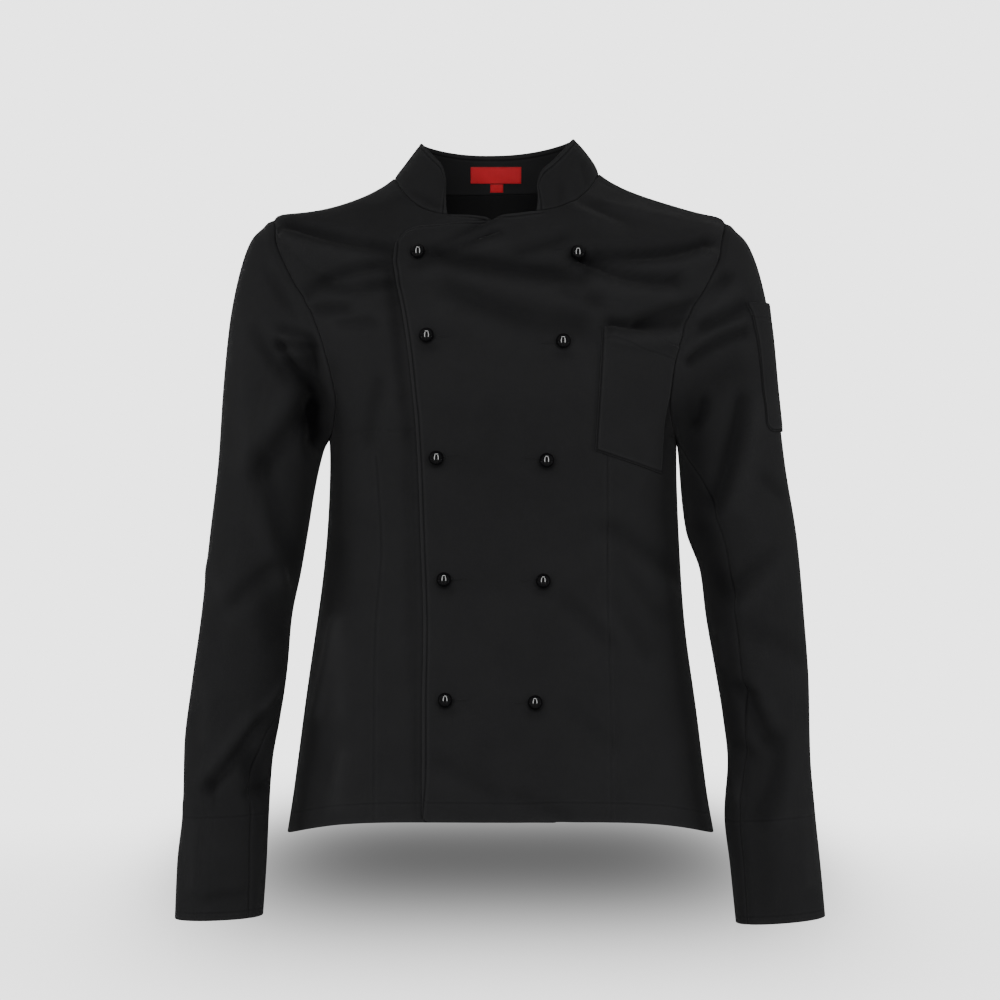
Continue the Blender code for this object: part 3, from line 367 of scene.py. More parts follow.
SLEEVE_LEFT = (
    SleeveRing(0.00, 200, -36, 158, -220, -3, 58),
    SleeveRing(0.05, 220, -50, 160, -230, -3, 61),
    SleeveRing(0.10, 234, -82, 161, -246, -3, 62),
    SleeveRing(0.17, 243, -124, 163, -275, -3, 61),
    SleeveRing(0.25, 249, -184, 167, -306, -3, 60),
    SleeveRing(0.35, 256, -246, 180, -344, -4, 57),
    SleeveRing(0.45, 267, -316, 185, -384, -6, 54),
    SleeveRing(0.55, 273, -384, 193, -430, -9, 52),
    SleeveRing(0.65, 277, -444, 200, -474, -12, 50),
    SleeveRing(0.74, 278, -504, 204, -514, -15, 48),
    SleeveRing(0.83, 282, -556, 201, -560, -18, 47),
    SleeveRing(0.91, 287, -606, 206, -606, -20, 46),
    SleeveRing(1.00, 291, -651, 211, -657, -22, 45),
)
SLEEVE_SQUARE = 2.1
CAP_REACH = 0.22
SLEEVE_RUN = 620.0

RIGHT_SLEEVE_FRONT = (
    Fold(-166, -150, -163, -226, 0, 9, -10.0),
    Fold(-208, -74, -180, -113, 0, 6, -2.6, 0.3, soft=0.5),
    Fold(-217, -130, -190, -170, -1.5, 6, -4.4, 0.4, soft=0.4),
    Fold(-195, -142, -170, -179, 0, 4.5, -5.9, 0.4),
    Fold(-193, -142, -160, -142, 0, 4, -5.2, -0.4),
    Fold(-191, -128, -165, -135, 0, 4, -4.3, -0.3),
    Fold(-232, -122, -227, -232, -2, 8, 2.5),
    Fold(-168, -198, -214, -254, 0, 10, -7.0, -0.4, 1.1, 0.7),
    Fold(-212, -246, -180, -350, 0, 9, -5.6, -0.4, 0.7, 1.0),
    Fold(-204, -342, -242, -374, -1, 8, -4.0, 0.3),
    Fold(-205, -365, -200, -400, 0, 13, -3.2),
    Fold(-261, -342, -244, -376, 0, 9, 2.9),
    Fold(-192, -441, -209, -463, 0, 4, 2.6),
    Fold(-267, -443, -261, -491, 2, 6, 2.6),
    Fold(-213, -480, -257, -534, 1, 6, -5.2, -0.5),
    Fold(-256, -533, -252, -545, 0, 5, -2.2),
    Fold(-222, -512, -212, -540, 0, 9, -5.9),
    Fold(-202, -503, -209, -531, 0, 4, 2.6),
    Fold(-207, -535, -222, -540, 0, 5, -2.4),
    Fold(-279, -552, -272, -622, 0, 6, 3.0),
    Fold(-257, -633, -230, -630, 1, 5, -2.2),
)
RIGHT_SLEEVE_BACK = softened(0.7, (
    Fold(-176, -112, -226, -142, 4, 6.9, -5.7, 0.4),
    Fold(-174, -150, -216, -196, -4, 8, -5.7, 0.4),
    Fold(-184, -226, -236, -250, 3, 10.3, -4.9, 0.3),
    Fold(-194, -318, -258, -340, 5, 8, -7.2, 0.4),
    Fold(-198, -352, -262, -358, -5, 6.9, -6.5, 0.4),
    Fold(-202, -396, -256, -380, -3, 9.2, -5.3, -0.4),
    Fold(-212, -470, -264, -506, 5, 8, -6.1, 0.4),
    Fold(-222, -546, -274, -566, 4, 9.2, -4.5, 0.3),
))
LEFT_SLEEVE_FRONT = (
    Fold(216, -130, 168, -155, -3, 5, -6.5, -0.4),
    Fold(213, -108, 181, -124, 1, 6, -6.4, -0.4),
    Fold(173, -95, 199, -81, 0, 5.5, -5.4, -0.3),
    Fold(205, -165, 180, -185, 0, 14, -3.8),
    Fold(214, -194, 190, -280, 3, 9, -7.6, 0.3),
    Fold(181, -196, 175, -212, 2, 5, -4.9),
    Fold(236, -262, 248, -273, 0, 7, -3.4),
    Fold(205, -364, 242, -326, 2, 8, -4.4, -0.4, 1.0, 0.6),
    Fold(209, -446, 224, -452, 0, 5, -2.4),
    Fold(216, -449, 236, -490, 0, 7, -5.0, 0.4),
    Fold(212, -498, 222, -506, 0, 6, -2.4),
    Fold(246, -496, 231, -560, 5, 10, -4.6, 0.4),
    Fold(273, -560, 276, -620, 0, 6, 3.0),
    Fold(196, -400, 197, -426, 0, 5, 2.6),
    Fold(206, -510, 210, -544, 0, 5, 2.4),
    Fold(230, -399, 264, -419, 3, 10, -2.4, -0.3),
    Fold(232, -588, 236, -636, 0, 10, -2.2),
)
LEFT_SLEEVE_BACK = softened(0.7, (
    Fold(178, -118, 228, -148, -4, 6.9, -5.7, -0.4),
    Fold(176, -158, 218, -204, 4, 8, -5.7, -0.4),
    Fold(186, -234, 238, -256, -3, 10.3, -4.9, -0.3),
    Fold(196, -322, 260, -342, -5, 8, -7.2, -0.4),
    Fold(200, -358, 264, -362, 5, 6.9, -6.5, -0.4),
    Fold(204, -404, 258, -388, 3, 9.2, -5.3, 0.4),
    Fold(214, -462, 266, -496, -5, 8, -6.1, -0.4),
    Fold(222, -540, 276, -562, -4, 9.2, -4.5, -0.3),
))


# Where a sleeve's seam lies round its ring: the reach, and degrees from its outer line
RIGHT_INSEAM = (
    (0.0, 180), (0.55, 180), (0.62, 172), (0.70, 140),
    (0.80, 128), (1.0, 135),
)
LEFT_INSEAM = (
    (0.0, 180), (0.10, 150), (0.25, 122), (0.42, 116),
    (0.60, 120), (0.80, 132), (1.0, 140),
)


# ==== Curves, distances and slopes ====
def columns_of(rows: Sequence) -> dict[str, Array]:
    """A table of rows as one array for each named column."""
    return {f.name: np.array([getattr(row, f.name) for row in rows], float) for f in fields(rows[0])}


def smooth(knots: Array, values: Array, at: Array) -> Array:
    """A curve through knots that never overshoots them.

    Between two knots it is the cubic with the knots' values and slopes; a knot's slope is the
    harmonic mean of the rises beside it, or 0 where they turn.

    Args:
        knots: Rising places of the knots.
        values: The knots' values.
        at: Where the curve is read.

    Returns:
        The curve's values at `at`.
    """
    step = np.diff(knots)
    rise = np.diff(values) / step
    slope = np.concatenate([rise[:1], (rise[:-1] + rise[1:]) / 2, rise[-1:]])
    turns = rise[:-1] * rise[1:] <= 0
    even = 2 * rise[:-1] * rise[1:] / np.where(turns, 1, rise[:-1] + rise[1:])
    slope[1:-1] = np.where(turns, 0, even)
    span = np.clip(np.searchsorted(knots, at) - 1, 0, len(step) - 1)
    t = (at - knots[span]) / step[span]
    start = (1 + 2 * t) * (1 - t) ** 2 * values[span] + t * (1 - t) ** 2 * step[span] * slope[span]
    end = t * t * (3 - 2 * t) * values[span + 1] + t * t * (t - 1) * step[span] * slope[span + 1]
    return start + end


def ease(t: Array) -> Array:
    """0 below 0, 1 above 1, and a smooth step between."""
    t = np.clip(t, 0, 1)
    return t * t * (3 - 2 * t)


def bisect(rising: Callable[[Array], Array], low: float, high: float, target: Array) -> Array:
    """Where a rising function meets the target, by halving the span over and over.

    Args:
        rising: The function.
        low: The lowest place.
        high: The highest place.
        target: The values to meet.

    Returns:
        The places, one for each target.
    """
    lows = np.full(np.shape(target), float(low))
    highs = np.full(np.shape(target), float(high))
    for _ in range(HALVINGS):
        middle = (lows + highs) / 2
        under = rising(middle) < target
        lows = np.where(under, middle, lows)
        highs = np.where(under, highs, middle)
    return (lows + highs) / 2


def unit(vectors: Array) -> Array:
    """Vectors at length 1."""
    return vectors / np.linalg.norm(vectors, axis=-1, keepdims=True)


def turned(first: Array, second: Array, share: Array) -> Array:
    """Unit vectors that turn from the first to the second as the share goes from 0 to 1."""
    return unit(first + (second - first) * share[..., None])


def facing(surface: Surface, u: Array, v: Array) -> Array:
    """The unit normal of surface(u, v): the cross product of its two slopes.

    Args:
        surface: A face, as a function of its two coordinates.
        u: The first coordinate.
        v: The second one.

    Returns:
        A normal for each point.
    """
    along_u = surface(u + SLOPE_STEP, v) - surface(u - SLOPE_STEP, v)
    along_v = surface(u, v + SLOPE_STEP) - surface(u, v - SLOPE_STEP)
    return unit(np.cross(along_u, along_v))


def run_along(points: Array, axis: int) -> Array:
    """The length walked along one axis of a grid, from 0 at its first row or column.

    Args:
        points: A grid of points.
        axis: The axis to walk along.

    Returns:
        The length at each point.
    """
    steps = np.linalg.norm(np.diff(points, axis=axis), axis=-1)
    start = np.zeros_like(np.take(steps, [0], axis=axis))
    return np.concatenate([start, np.cumsum(steps, axis=axis)], axis=axis)


def from_ends(run: Array) -> Array:
    """The distance from the nearer end of each row of a run."""
    return np.minimum(run, run[:, -1:] - run)


def fold_rise(folds: Sequence[Fold], x: Array, z: Array) -> Array:
    """How far all the folds together lift the cloth.

    Across a fold the rise is a bell, less a wider bell beside it, its lip.  Along it the strength
    goes straight from start to end, less a parabola for soft ends, and past its ends it fades as a
    bell.

    Args:
        folds: The folds.
        x: Places seen from the front.
        z: Their heights.

    Returns:
        The rise in millimetres.
    """
    total = np.zeros(np.shape(x))
    for fold in folds:
        run = np.array([fold.x2 - fold.x1, fold.z2 - fold.z1], float)
        length = np.hypot(*run)
        along = ((x - fold.x1) * run[0] + (z - fold.z1) * run[1]) / length**2
        inside = np.clip(along, 0, 1)
        off = ((z - fold.z1) * run[0] - (x - fold.x1) * run[1]) / length
        off = (off - fold.bow * 4 * inside * (1 - inside)) / fold.width
        beyond = (along - inside) * length / (END_FADE * fold.width)
        strength = (fold.start + (fold.end - fold.start) * inside) * np.exp(-(beyond**2))
        strength = strength * (1 - fold.soft * (2 * inside - 1) ** 2)
        beside = np.exp(-(((off - LIP_AWAY * np.sign(fold.lip)) / LIP_WIDTH) ** 2))
        total = total + fold.rise * strength * (np.exp(-(off**2)) - abs(fold.lip) * beside)
    return total


def hollow(folds: Sequence[Fold], outer: Array, away: Array) -> Array:
    """Painted shade: how deep each point lies in folds and dark places, below 0 in a trough; 0 at a seam.
    """
    return fold_rise(folds, outer[..., 0], outer[..., 2]) * ease(away / PAINTED_SHADE_FADE)


def unevenness(x: Array, z: Array, seed: float) -> Array:
    """Soft unevenness of hanging cloth: three crossed waves of 60 to 110 mm, about 0.3 mm high.

    Args:
        x: Places seen from the front.
        z: Their heights.
        seed: A phase that sets one piece's waves apart from another's.

    Returns:
        The rise in millimetres.
    """
    first = np.sin(x / 13.1 + z / 31.7 + seed)
    second = np.sin(z / 17.3 - x / 26.9 + 2.1 * seed)
    third = np.sin(x / 9.7 - z / 14.9 + 3.7 * seed) * 0.6
    return UNEVEN_RISE * (first * second * 1.6 + third)


def spread(first: Sequence[float], last: Sequence[float], low: float, high: float, count: int) -> Array:
    """Places from low to high: given steps near both ends, and even ones between.

    Args:
        first: Distances from low, rising from 0.
        last: Distances from high, rising from 0.
        low: The first place.
        high: The last place.
        count: How many even places come between.

    Returns:
        The rising places.
    """
    start = low + np.array(first, float)
    stop = high - np.array(last, float)[::-1]
    return np.concatenate([start, np.linspace(start[-1], stop[0], count + 2)[1:-1], stop])


# ==== The torso's form ====
@dataclass(frozen=True)
class Relief:
    """The soft relief of one face of the torso."""

    folds: tuple[Fold, ...]
    swells: tuple[Fold, ...]
    seed: float


RELIEFS = {
    Face.FRONT: Relief(FRONT_FOLDS, FRONT_SWELLS, 0.4),
    Face.BACK: Relief(BACK_FOLDS, BACK_SWELLS, 1.9),
}


def on_ring(ring: dict[str, Array], turn: Array, power: float) -> Array:
    """A point of a closed ring: a squared ellipse whose middles may lie lower than its sides.

    x is the half width times sin(turn) to the power 2/square, y is the depth times cos(turn) to the
    same power, and z goes from the side's height to the middle's as 1 - |sin(turn)|^power.

    Args:
        ring: The ring's sizes.
        turn: Angles from the centre front.
        power: How late the height leaves the middle's.

    Returns:
        Points in millimetres.
    """
    across, ahead = np.sin(turn), np.cos(turn)
    curve = 2 / ring["square"]
    half = np.where(across > 0, ring["left"], ring["right"])
    depth = np.where(ahead > 0, -ring["front"], ring["back"])
    middle_z = np.where(ahead > 0, ring["front_z"], ring["back_z"])
    x = ring["shift"] + half * np.sign(across) * np.abs(across) ** curve
    y = depth * np.abs(ahead) ** curve
    z = ring["side_z"] + (middle_z - ring["side_z"]) * (1 - np.abs(across) ** power)
    return np.stack(np.broadcast_arrays(x, y, z + ring["tilt"] * across), axis=-1)


@dataclass
class TorsoForm:
    """The smooth form that both fronts, the back and the collar are cut from."""

    rings: tuple[Ring, ...] = TORSO_RINGS
    table: dict[str, Array] = field(init=False, default_factory=dict)

    def __post_init__(self) -> None:
        """Fills a fine table of rings, each a weighted mean of the rings just below and above."""
        rows = columns_of(self.rings)
        level = np.linspace(0, NECK_LEVEL, TABLE_SIZE)
        reach = np.minimum(RING_SPREAD, np.minimum(level, NECK_LEVEL - level))
        steps = np.arange(-RING_STEPS, RING_STEPS + 1)
        weights = (RING_STEPS + 1.0 - np.abs(steps)) / (RING_STEPS + 1) ** 2
        for name in rows:
            near = [smooth(rows["level"], rows[name], level + reach * s / RING_STEPS) for s in steps]
            self.table[name] = np.tensordot(weights, np.array(near), axes=1)
        self.table["level"] = level
        self.square = rows["square"]
        self.levels = rows["level"]
        self.lines = dict(zip(("level", *FRONT_LINE_NAMES), np.array(FRONT_LINES, float).T))
        self.holes = dict(zip(("around", Face.FRONT, Face.BACK), np.array(ARMHOLES).T))

    def ring(self, level: Array) -> dict[str, Array]:
        """The ring at each level, read from the table, and straight on past both its ends.

        Args:
            level: Levels on the torso.

        Returns:
            Each column of the table at the levels, by its name.
        """
        inside = np.clip(level, 0, NECK_LEVEL)
        size = self.table["level"][1]
        found = {}
        for name, values in self.table.items():
            slope = np.where(level < 0, values[1] - values[0], values[-1] - values[-2]) / size
            found[name] = np.interp(inside, self.table["level"], values) + slope * (level - inside)
        return found

    def plain(self, turn: Array, level: Array) -> Array:
        """The form without folds: its ring, and two bells of the bust pushed forwards.

        Args:
            turn: Angles from the centre front.
            level: Levels on the torso.

        Returns:
            The points.
        """
        turn, level = np.broadcast_arrays(turn, level)
        points = on_ring(self.ring(level), turn, SHOULDER_POWER)
        x, z = points[..., 0], points[..., 2]
        wide = 2 * BUST_WIDTH**2
        bells = sum(np.exp(-((x - s * BUST_X) ** 2 + (z - BUST_Z) ** 2) / wide) for s in (-1, 1))
        points[..., 1] -= BUST_RISE * bells * np.clip(np.cos(turn), 0, 1)
        return points

    def surface(self, turn: Array, level: Array) -> Array:
        """The form with its swells and folds, which rise along its normal.

        Both fade out at its sides, and the folds also fade to a quarter at the armholes.

        Args:
            turn: Angles from the centre front.
            level: Levels on the torso.

        Returns:
            The points.
        """
        turn, level = np.broadcast_arrays(turn, level)
        plain = self.plain(turn, level)
        x, z = plain[..., 0], plain[..., 2]
        ahead = np.cos(turn)
        from_back = np.abs(np.mod(turn, 2 * np.pi) - np.pi)
        rise = np.zeros(turn.shape)
        for face, relief in RELIEFS.items():
            off = np.pi - from_back if face is Face.FRONT else from_back
            folds = fold_rise(relief.folds, x, z) + unevenness(x, z, relief.seed)
            inside = ease((self.edge_turn(level, face) - off) / ARM_FADE)
            near = ARM_SHARE + (1 - ARM_SHARE) * inside
            swells = fold_rise(relief.swells, x, z)
            rise = rise + (folds * near + swells) * ease(face.value * ahead * SIDE_FADE)
        return plain + facing(self.plain, turn, level) * rise[..., None]

    def turn_at(self, x: Array, level: Array) -> Array:
        """The front turn at which the ring of a level passes x.

        Args:
            x: Places across, as seen from the front.
            level: Levels on the torso.

        Returns:
            The turns.
        """
        ring = self.ring(level)
        off = x - ring["shift"]
        share = np.clip(np.abs(off) / np.where(off > 0, ring["left"], ring["right"]), 0, 1)
        return np.sign(off) * np.arcsin(share ** (ring["square"] / 2))

    def level_at(self, x: Array, z: Array, top: float = NECK_LEVEL) -> Array:
        """The level at which the front's plain form passes (x, z)."""
        return bisect(lambda at: self.plain(self.turn_at(x, at), at)[..., 2], 0.0, top, z)

    def edge_turn(self, level: Array, face: Face) -> Array:
        """How far a panel reaches round from its middle, before its side seam or armhole.

        Args:
            level: Levels on the torso.
            face: The front or the back.

        Returns:
            The turns of its edge.
        """
        around = np.arccos(np.clip(1 - 2 * (level - 1), -1, 1)) / np.pi
        notch = smooth(self.holes["around"], self.holes[face], around)
        square = smooth(self.levels, self.square, level)
        return np.arcsin(np.clip(1 - notch, 0, 1) ** (square / 2))

    def line_x(self, name: str, level: Array) -> Array:
        """The x of a front line at a level."""
        return smooth(self.lines["level"], self.lines[name], level)

    def bounds_at(self, level: Array) -> Array:
        """The turns of the six lines that bound the front's spans of columns.

        Args:
            level: Levels on the torso.

        Returns:
            The turns, line by line.
        """
        side = self.edge_turn(level, Face.FRONT)
        inner = [self.turn_at(self.line_x(name, level), level) for name in FRONT_LINE_NAMES]
        return np.stack([-side, *inner, side], axis=-1)

    def front_turn(self, column: Array, level: Array) -> Array:
        """The turn of a front column, counted from the wearer's right side seam.

        Args:
            column: 0 at the right side seam, 10 at the top front's free edge, 20 at the under
                front's, 29 at the left side seam, and even between the front's lines.
            level: The level.

        Returns:
            The turn.
        """
        column, level = np.broadcast_arrays(np.asarray(column, float), level)
        bounds = self.bounds_at(level)
        starts = np.concatenate([[0], np.cumsum(FRONT_SPANS)]).astype(float)
        span = np.clip(np.searchsorted(starts, column, side="right") - 1, 0, len(FRONT_SPANS) - 1)
        share = (column - starts[span]) / (starts[span + 1] - starts[span])
        low = np.take_along_axis(bounds, span[..., None], axis=-1)[..., 0]
        high = np.take_along_axis(bounds, span[..., None] + 1, axis=-1)[..., 0]
        return low + (high - low) * share

    def front_column(self, turn: Array, level: Array) -> Array:
        """The front column at a turn: the sum of the shares of all spans that it has passed.

        Args:
            turn: Angles from the centre front.
            level: Levels on the torso.

        Returns:
            The column at each turn, with its fraction.
        """
        bounds = self.bounds_at(level)
        low, high = bounds[..., :-1], bounds[..., 1:]
        return np.sum(np.clip((turn[..., None] - low) / (high - low), 0, 1) * FRONT_SPANS, axis=-1)

    def lap_lift(self, column: Array, level: Array) -> Array:
        """How far the top front lies above the form, because the under front is below it.

        Args:
            column: Columns of a front.
            level: Levels on the torso.

        Returns:
            The lift, in millimetres.
        """
        start, end = LAP_FADE
        lift = LAP_LIFT + NECK_LIFT * ease((level - NECK_LIFT_START) / NECK_LIFT_RUN)
        return lift * (1 - ease((column - UNDER_COLUMN - start) / (end - start)))

    def lap_top(self, share: Array) -> Array:
        """The level of a front's upper edge, by its share of the way from its own free edge."""
        inside = smooth(*np.array(LAP_EDGE).T, np.clip(share, 0, 1))
        return np.where(share < 1, inside, NECK_LEVEL)

    def top_front(self, turn: Array, level: Array) -> Array:
        """The top front's outer face: the form, lifted over the under front.

        Args:
            turn: Angles from the centre front.
            level: Levels on the torso.

        Returns:
            The points.
        """
        turn, level = np.broadcast_arrays(turn, level)
        lift = self.lap_lift(self.front_column(turn, level), level)
        return self.surface(turn, level) + facing(self.plain, turn, level) * lift[..., None]


# ==== Shells of cloth ====
def corner_numbers(rows: int, columns: int, wrap_rows: bool = False, wrap_columns: bool = False) -> Array:
    """The quads of a grid, as the numbers of their corners.

    Args:
        rows: How many rows the grid has.
        columns: How many columns it has.
        wrap_rows: Whether the last row joins the first.
        wrap_columns: Whether the last column joins the first.

    Returns:
        Four numbers for each quad, row by row.
    """
    row, column = np.meshgrid(
        np.arange(rows if wrap_rows else rows - 1),
        np.arange(columns if wrap_columns else columns - 1),
        indexing="ij",
    )
    above, beside = (row + 1) % rows, (column + 1) % columns
    corners = ((row, column), (row, beside), (above, beside), (above, column))
    return np.stack([r * columns + c for r, c in corners], axis=-1).reshape(-1, 4)


@dataclass
class Shell:
    """A wall of cloth round a grid of outer points, closed at its edges by a rounded lip.

    The middle of the wall is half its thickness below the outer points.  Both faces stand off the
    middle by half the thickness, less near an edge, where they close as half an ellipse.
    """

    name: str
    outer: Array
    normal: Array
    wall: float = CLOTH
    closed: bool = False
    lip: float = LIP
    lines: dict[str, Array] = field(default_factory=dict)

    def edge_distance(self) -> Array:
        """The distance of each grid point from the nearest edge of the cloth, in millimetres.

        Returns:
            The distances.
        """
        up = run_along(self.outer, 0)
        near = np.minimum(up, up[-1:] - up)
        if self.closed:
            return near
        return np.minimum(near, from_ends(run_along(self.outer, 1)))

    def looped(self) -> Array:
        """The outer points, with the first column once more at the end of a closed wall."""
        return np.concatenate([self.outer, self.outer[:, :1]], axis=1) if self.closed else self.outer

    def cut_places(self) -> Array:
        """Where each looped point lies on the flat cut, in metres."""
        points = self.looped()
        return np.stack([run_along(points, 1), run_along(points, 0)], axis=-1) * MM

    def build(self) -> bpy.types.Object:
        """Makes the mesh with its flat-cut UV map and the distances from its sewn lines.

        Returns:
            The new object, at the origin.
        """
        rows, columns = self.outer.shape[:2]
        near = np.clip(self.edge_distance() / self.lip, 0, 1)
        half = self.wall / 2 * np.sqrt(1 - (1 - near) ** 2)
        middle = self.outer - self.normal * self.wall / 2
        upper = middle + self.normal * half[..., None]
        lower = middle - self.normal * half[..., None]
        index = np.arange(rows * columns).reshape(rows, columns)
        under = np.where(half > 0, index + rows * columns, index).reshape(-1)
        corners = corner_numbers(rows, columns, wrap_columns=self.closed)
        places = corner_numbers(*self.looped().shape[:2])
        flat = upper.reshape(-1, 3)
        first = flat[corners[:, 0]]
        cross = np.cross(flat[corners[:, 1]] - first, flat[corners[:, 3]] - first)
        if np.sum(cross * self.normal.reshape(-1, 3)[corners[:, 0]]) < 0:
            corners, places = corners[:, ::-1], places[:, ::-1]
        quads = np.concatenate([corners, under[corners[:, ::-1]]])
        cut = np.concatenate([places, places[:, ::-1]])
        points = np.concatenate([flat, lower.reshape(-1, 3)])
        used, quads = np.unique(quads, return_inverse=True)
        quads = quads.reshape(-1, 4)
        mesh = bpy.data.meshes.new(self.name)
        mesh.from_pydata((points[used] * MM).tolist(), [], quads.tolist())
        layer = mesh.uv_layers.new(name="cut")
        layer.data.foreach_set("uv", self.cut_places().reshape(-1, 2)[cut.reshape(-1)].reshape(-1))
        shape = (2, rows, columns)
        both = {name: np.broadcast_to(values, shape) for name, values in self.lines.items()}
        lines = {name: values.reshape(-1)[used] for name, values in both.items()}
        note_lines(mesh, lines, len(used))
        mesh.shade_smooth()
        return add_object(self.name, mesh)

    def area(self) -> float:
        """The outer face's area in square metres.

        Returns:
            The area.
        """
        points = self.looped()
        across = points[1:, 1:] - points[:-1, :-1]
        other = points[:-1, 1:] - points[1:, :-1]
        return float(np.linalg.norm(np.cross(across, other), axis=-1).sum() / 2) * MM * MM


# The last attribute is a painted shade depth, which darkens the cloth's colour in folds and dark places
LINE_NAMES = {"sewn_a": NO_LINE, "sewn_b": NO_LINE, "seam": NO_LINE, "brim": NO_LINE, "hollow": 0.0}


def note_lines(mesh: bpy.types.Mesh, lines: dict[str, Array], count: int) -> None:
    """Keeps each point's distance from the sewn lines, and its depth in folds for the painted shade, as
    attributes.

    Args:
        mesh: The mesh.
        lines: The values that are known; a missing line is far off, and a missing painted shade depth is
            0.
        count: The number of the mesh's points.
    """
    for name, missing in LINE_NAMES.items():
        values = lines.get(name, np.full(count, missing)).astype(np.float32)
        mesh.attributes.new(name, "FLOAT", "POINT").data.foreach_set("value", values)


def add_object(name: str, mesh: bpy.types.Mesh) -> bpy.types.Object:
    """A new object at the origin that shows the mesh.

    Args:
        name: Its name.
        mesh: Its mesh.

    Returns:
        The object.
    """
    obj = bpy.data.objects.new(name, mesh)
    bpy.context.scene.collection.objects.link(obj)
    return obj


def grid_mesh(name: str, points: Array, wrap_rows: bool, wrap_columns: bool) -> bpy.types.Mesh:
    """A mesh of one grid of points in millimetres, which may close on itself both ways.

    Args:
        name: The mesh's name.
        points: The grid, with outward normals as columns cross rows.
        wrap_rows: Whether the last row joins the first.
        wrap_columns: Whether the last column joins the first.

    Returns:
        The mesh in metres.
    """
    quads = corner_numbers(*points.shape[:2], wrap_rows, wrap_columns)
    mesh = bpy.data.meshes.new(name)
    mesh.from_pydata((points.reshape(-1, 3) * MM).tolist(), [], quads.tolist())
    mesh.shade_smooth()
    return mesh


# ==== Material groups ====
@dataclass
class NodeSheet:
    """Nodes of one tree, added and joined by short calls."""

    tree: bpy.types.NodeTree

    def add(self, kind: str, **settings: object) -> bpy.types.Node:
        """A new node with its settings; a setting named after an input sets that input's value.

        Args:
            kind: The node's Blender type.
            **settings: Node properties, or inputs as `in_0` for the first input and so on.

        Returns:
            The node.
        """
        node = self.tree.nodes.new(kind)
        for name, value in settings.items():
            if name.startswith("in_"):
                node.inputs[int(name[3:])].default_value = value
            else:
                setattr(node, name, value)
        return node

    def join(self, start: bpy.types.NodeSocket, end: bpy.types.NodeSocket) -> None:
        """Links an output to an input."""
        self.tree.links.new(start, end)

    def read(self, name: str) -> bpy.types.NodeSocket:
        """The value of a mesh attribute."""
        return self.add("ShaderNodeAttribute", attribute_name=name).outputs["Fac"]

    def blend(self, share: bpy.types.NodeSocket, ends: Sequence[Colour], shader: bpy.types.Node,
              clamp: bool = True) -> None:
        """Feeds a shader's base colour with a blend of two colours.

        Args:
            share: How far the blend is on its way to the second colour.
            ends: The two colours.
            shader: The shader.
            clamp: Whether the blend stops at its ends.
        """
        mix = self.add("ShaderNodeMix", data_type="RGBA", clamp_factor=clamp)
        for socket, colour in zip([s for s in mix.inputs if s.type == "RGBA"], ends):
            socket.default_value = (*colour, 1.0)
        self.join(share, mix.inputs[0])
        self.join([s for s in mix.outputs if s.type == "RGBA"][0], shader.inputs["Base Color"])

    def emboss(self, height: bpy.types.NodeSocket, scale: float, shader: bpy.types.Node) -> None:
        """Feeds a shader's normal with a height.

        Args:
            height: The height.
            scale: How many metres one unit of height is.
            shader: The shader.
        """
        bump = self.add("ShaderNodeBump")
        bump.inputs["Strength"].default_value = 1.0
        bump.inputs["Distance"].default_value = scale
        self.join(height, bump.inputs["Height"])
        self.join(bump.outputs[0], shader.inputs["Normal"])

    def math(self, operation: str, *values: object, clamp: bool = False) -> bpy.types.NodeSocket:
        """A Math node of sockets or numbers.

        Args:
            operation: The node's operation.
            *values: A socket or a number for each input.
            clamp: Whether the result stays from 0 to 1.

        Returns:
            The node's output.
        """
        node = self.add("ShaderNodeMath", operation=operation, use_clamp=clamp)
        self.feed(node, dict(enumerate(values)))
        return node.outputs[0]

    def feed(self, node: bpy.types.Node, given: dict[int | str, object]) -> None:
        """Joins sockets to a node's inputs, and sets its other inputs to numbers.

        Args:
            node: The node.
            given: A socket or a number for each input, by its place or name.
        """
        for key, value in given.items():
            if isinstance(value, bpy.types.NodeSocket):
                self.join(value, node.inputs[key])
            else:
                node.inputs[key].default_value = value

    def group(self, tree: bpy.types.NodeTree, given: dict[str, object]) -> Sockets:
        """A node of a group, fed by its inputs' names, as its outputs by name.

        Args:
            tree: The group.
            given: A socket or a number for each input, by its name.

        Returns:
            Its outputs, by their names.
        """
        node = self.add("ShaderNodeGroup", node_tree=tree)
        self.feed(node, given)
        return dict(node.outputs.items())


def new_material(name: str) -> tuple[bpy.types.Material, NodeSheet, bpy.types.Node]:
    """A new material, its node sheet and its main shader.

    Args:
        name: The material's name.

    Returns:
        The three.
    """
    material = bpy.data.materials.new(name)
    material.use_nodes = True
    sheet = NodeSheet(material.node_tree)
    return material, sheet, sheet.tree.nodes["Principled BSDF"]


def new_group(
    name: str, inputs: dict[str, float | None], outputs: Sequence[str]
) -> tuple[NodeSheet, Sockets, Sockets]:
    """A shader node group with its sockets.

    Args:
        name: The group's name.
        inputs: Each input's default value; None makes a vector input.
        outputs: Names of its number outputs.

    Returns:
        The group's node sheet, its input sockets and its output sockets, by name.
    """
    tree = bpy.data.node_groups.new(name, "ShaderNodeTree")
    for key, value in inputs.items():
        kind = "NodeSocketVector" if value is None else "NodeSocketFloat"
        socket = tree.interface.new_socket(key, in_out="INPUT", socket_type=kind)
        if value is not None:
            socket.default_value = value
    for key in outputs:
        tree.interface.new_socket(key, in_out="OUTPUT", socket_type="NodeSocketFloat")
    sheet = NodeSheet(tree)
    start = sheet.add("NodeGroupInput")
    end = sheet.add("NodeGroupOutput")
    given = {key: start.outputs[key] for key in inputs}
    return sheet, given, {key: end.inputs[key] for key in outputs}


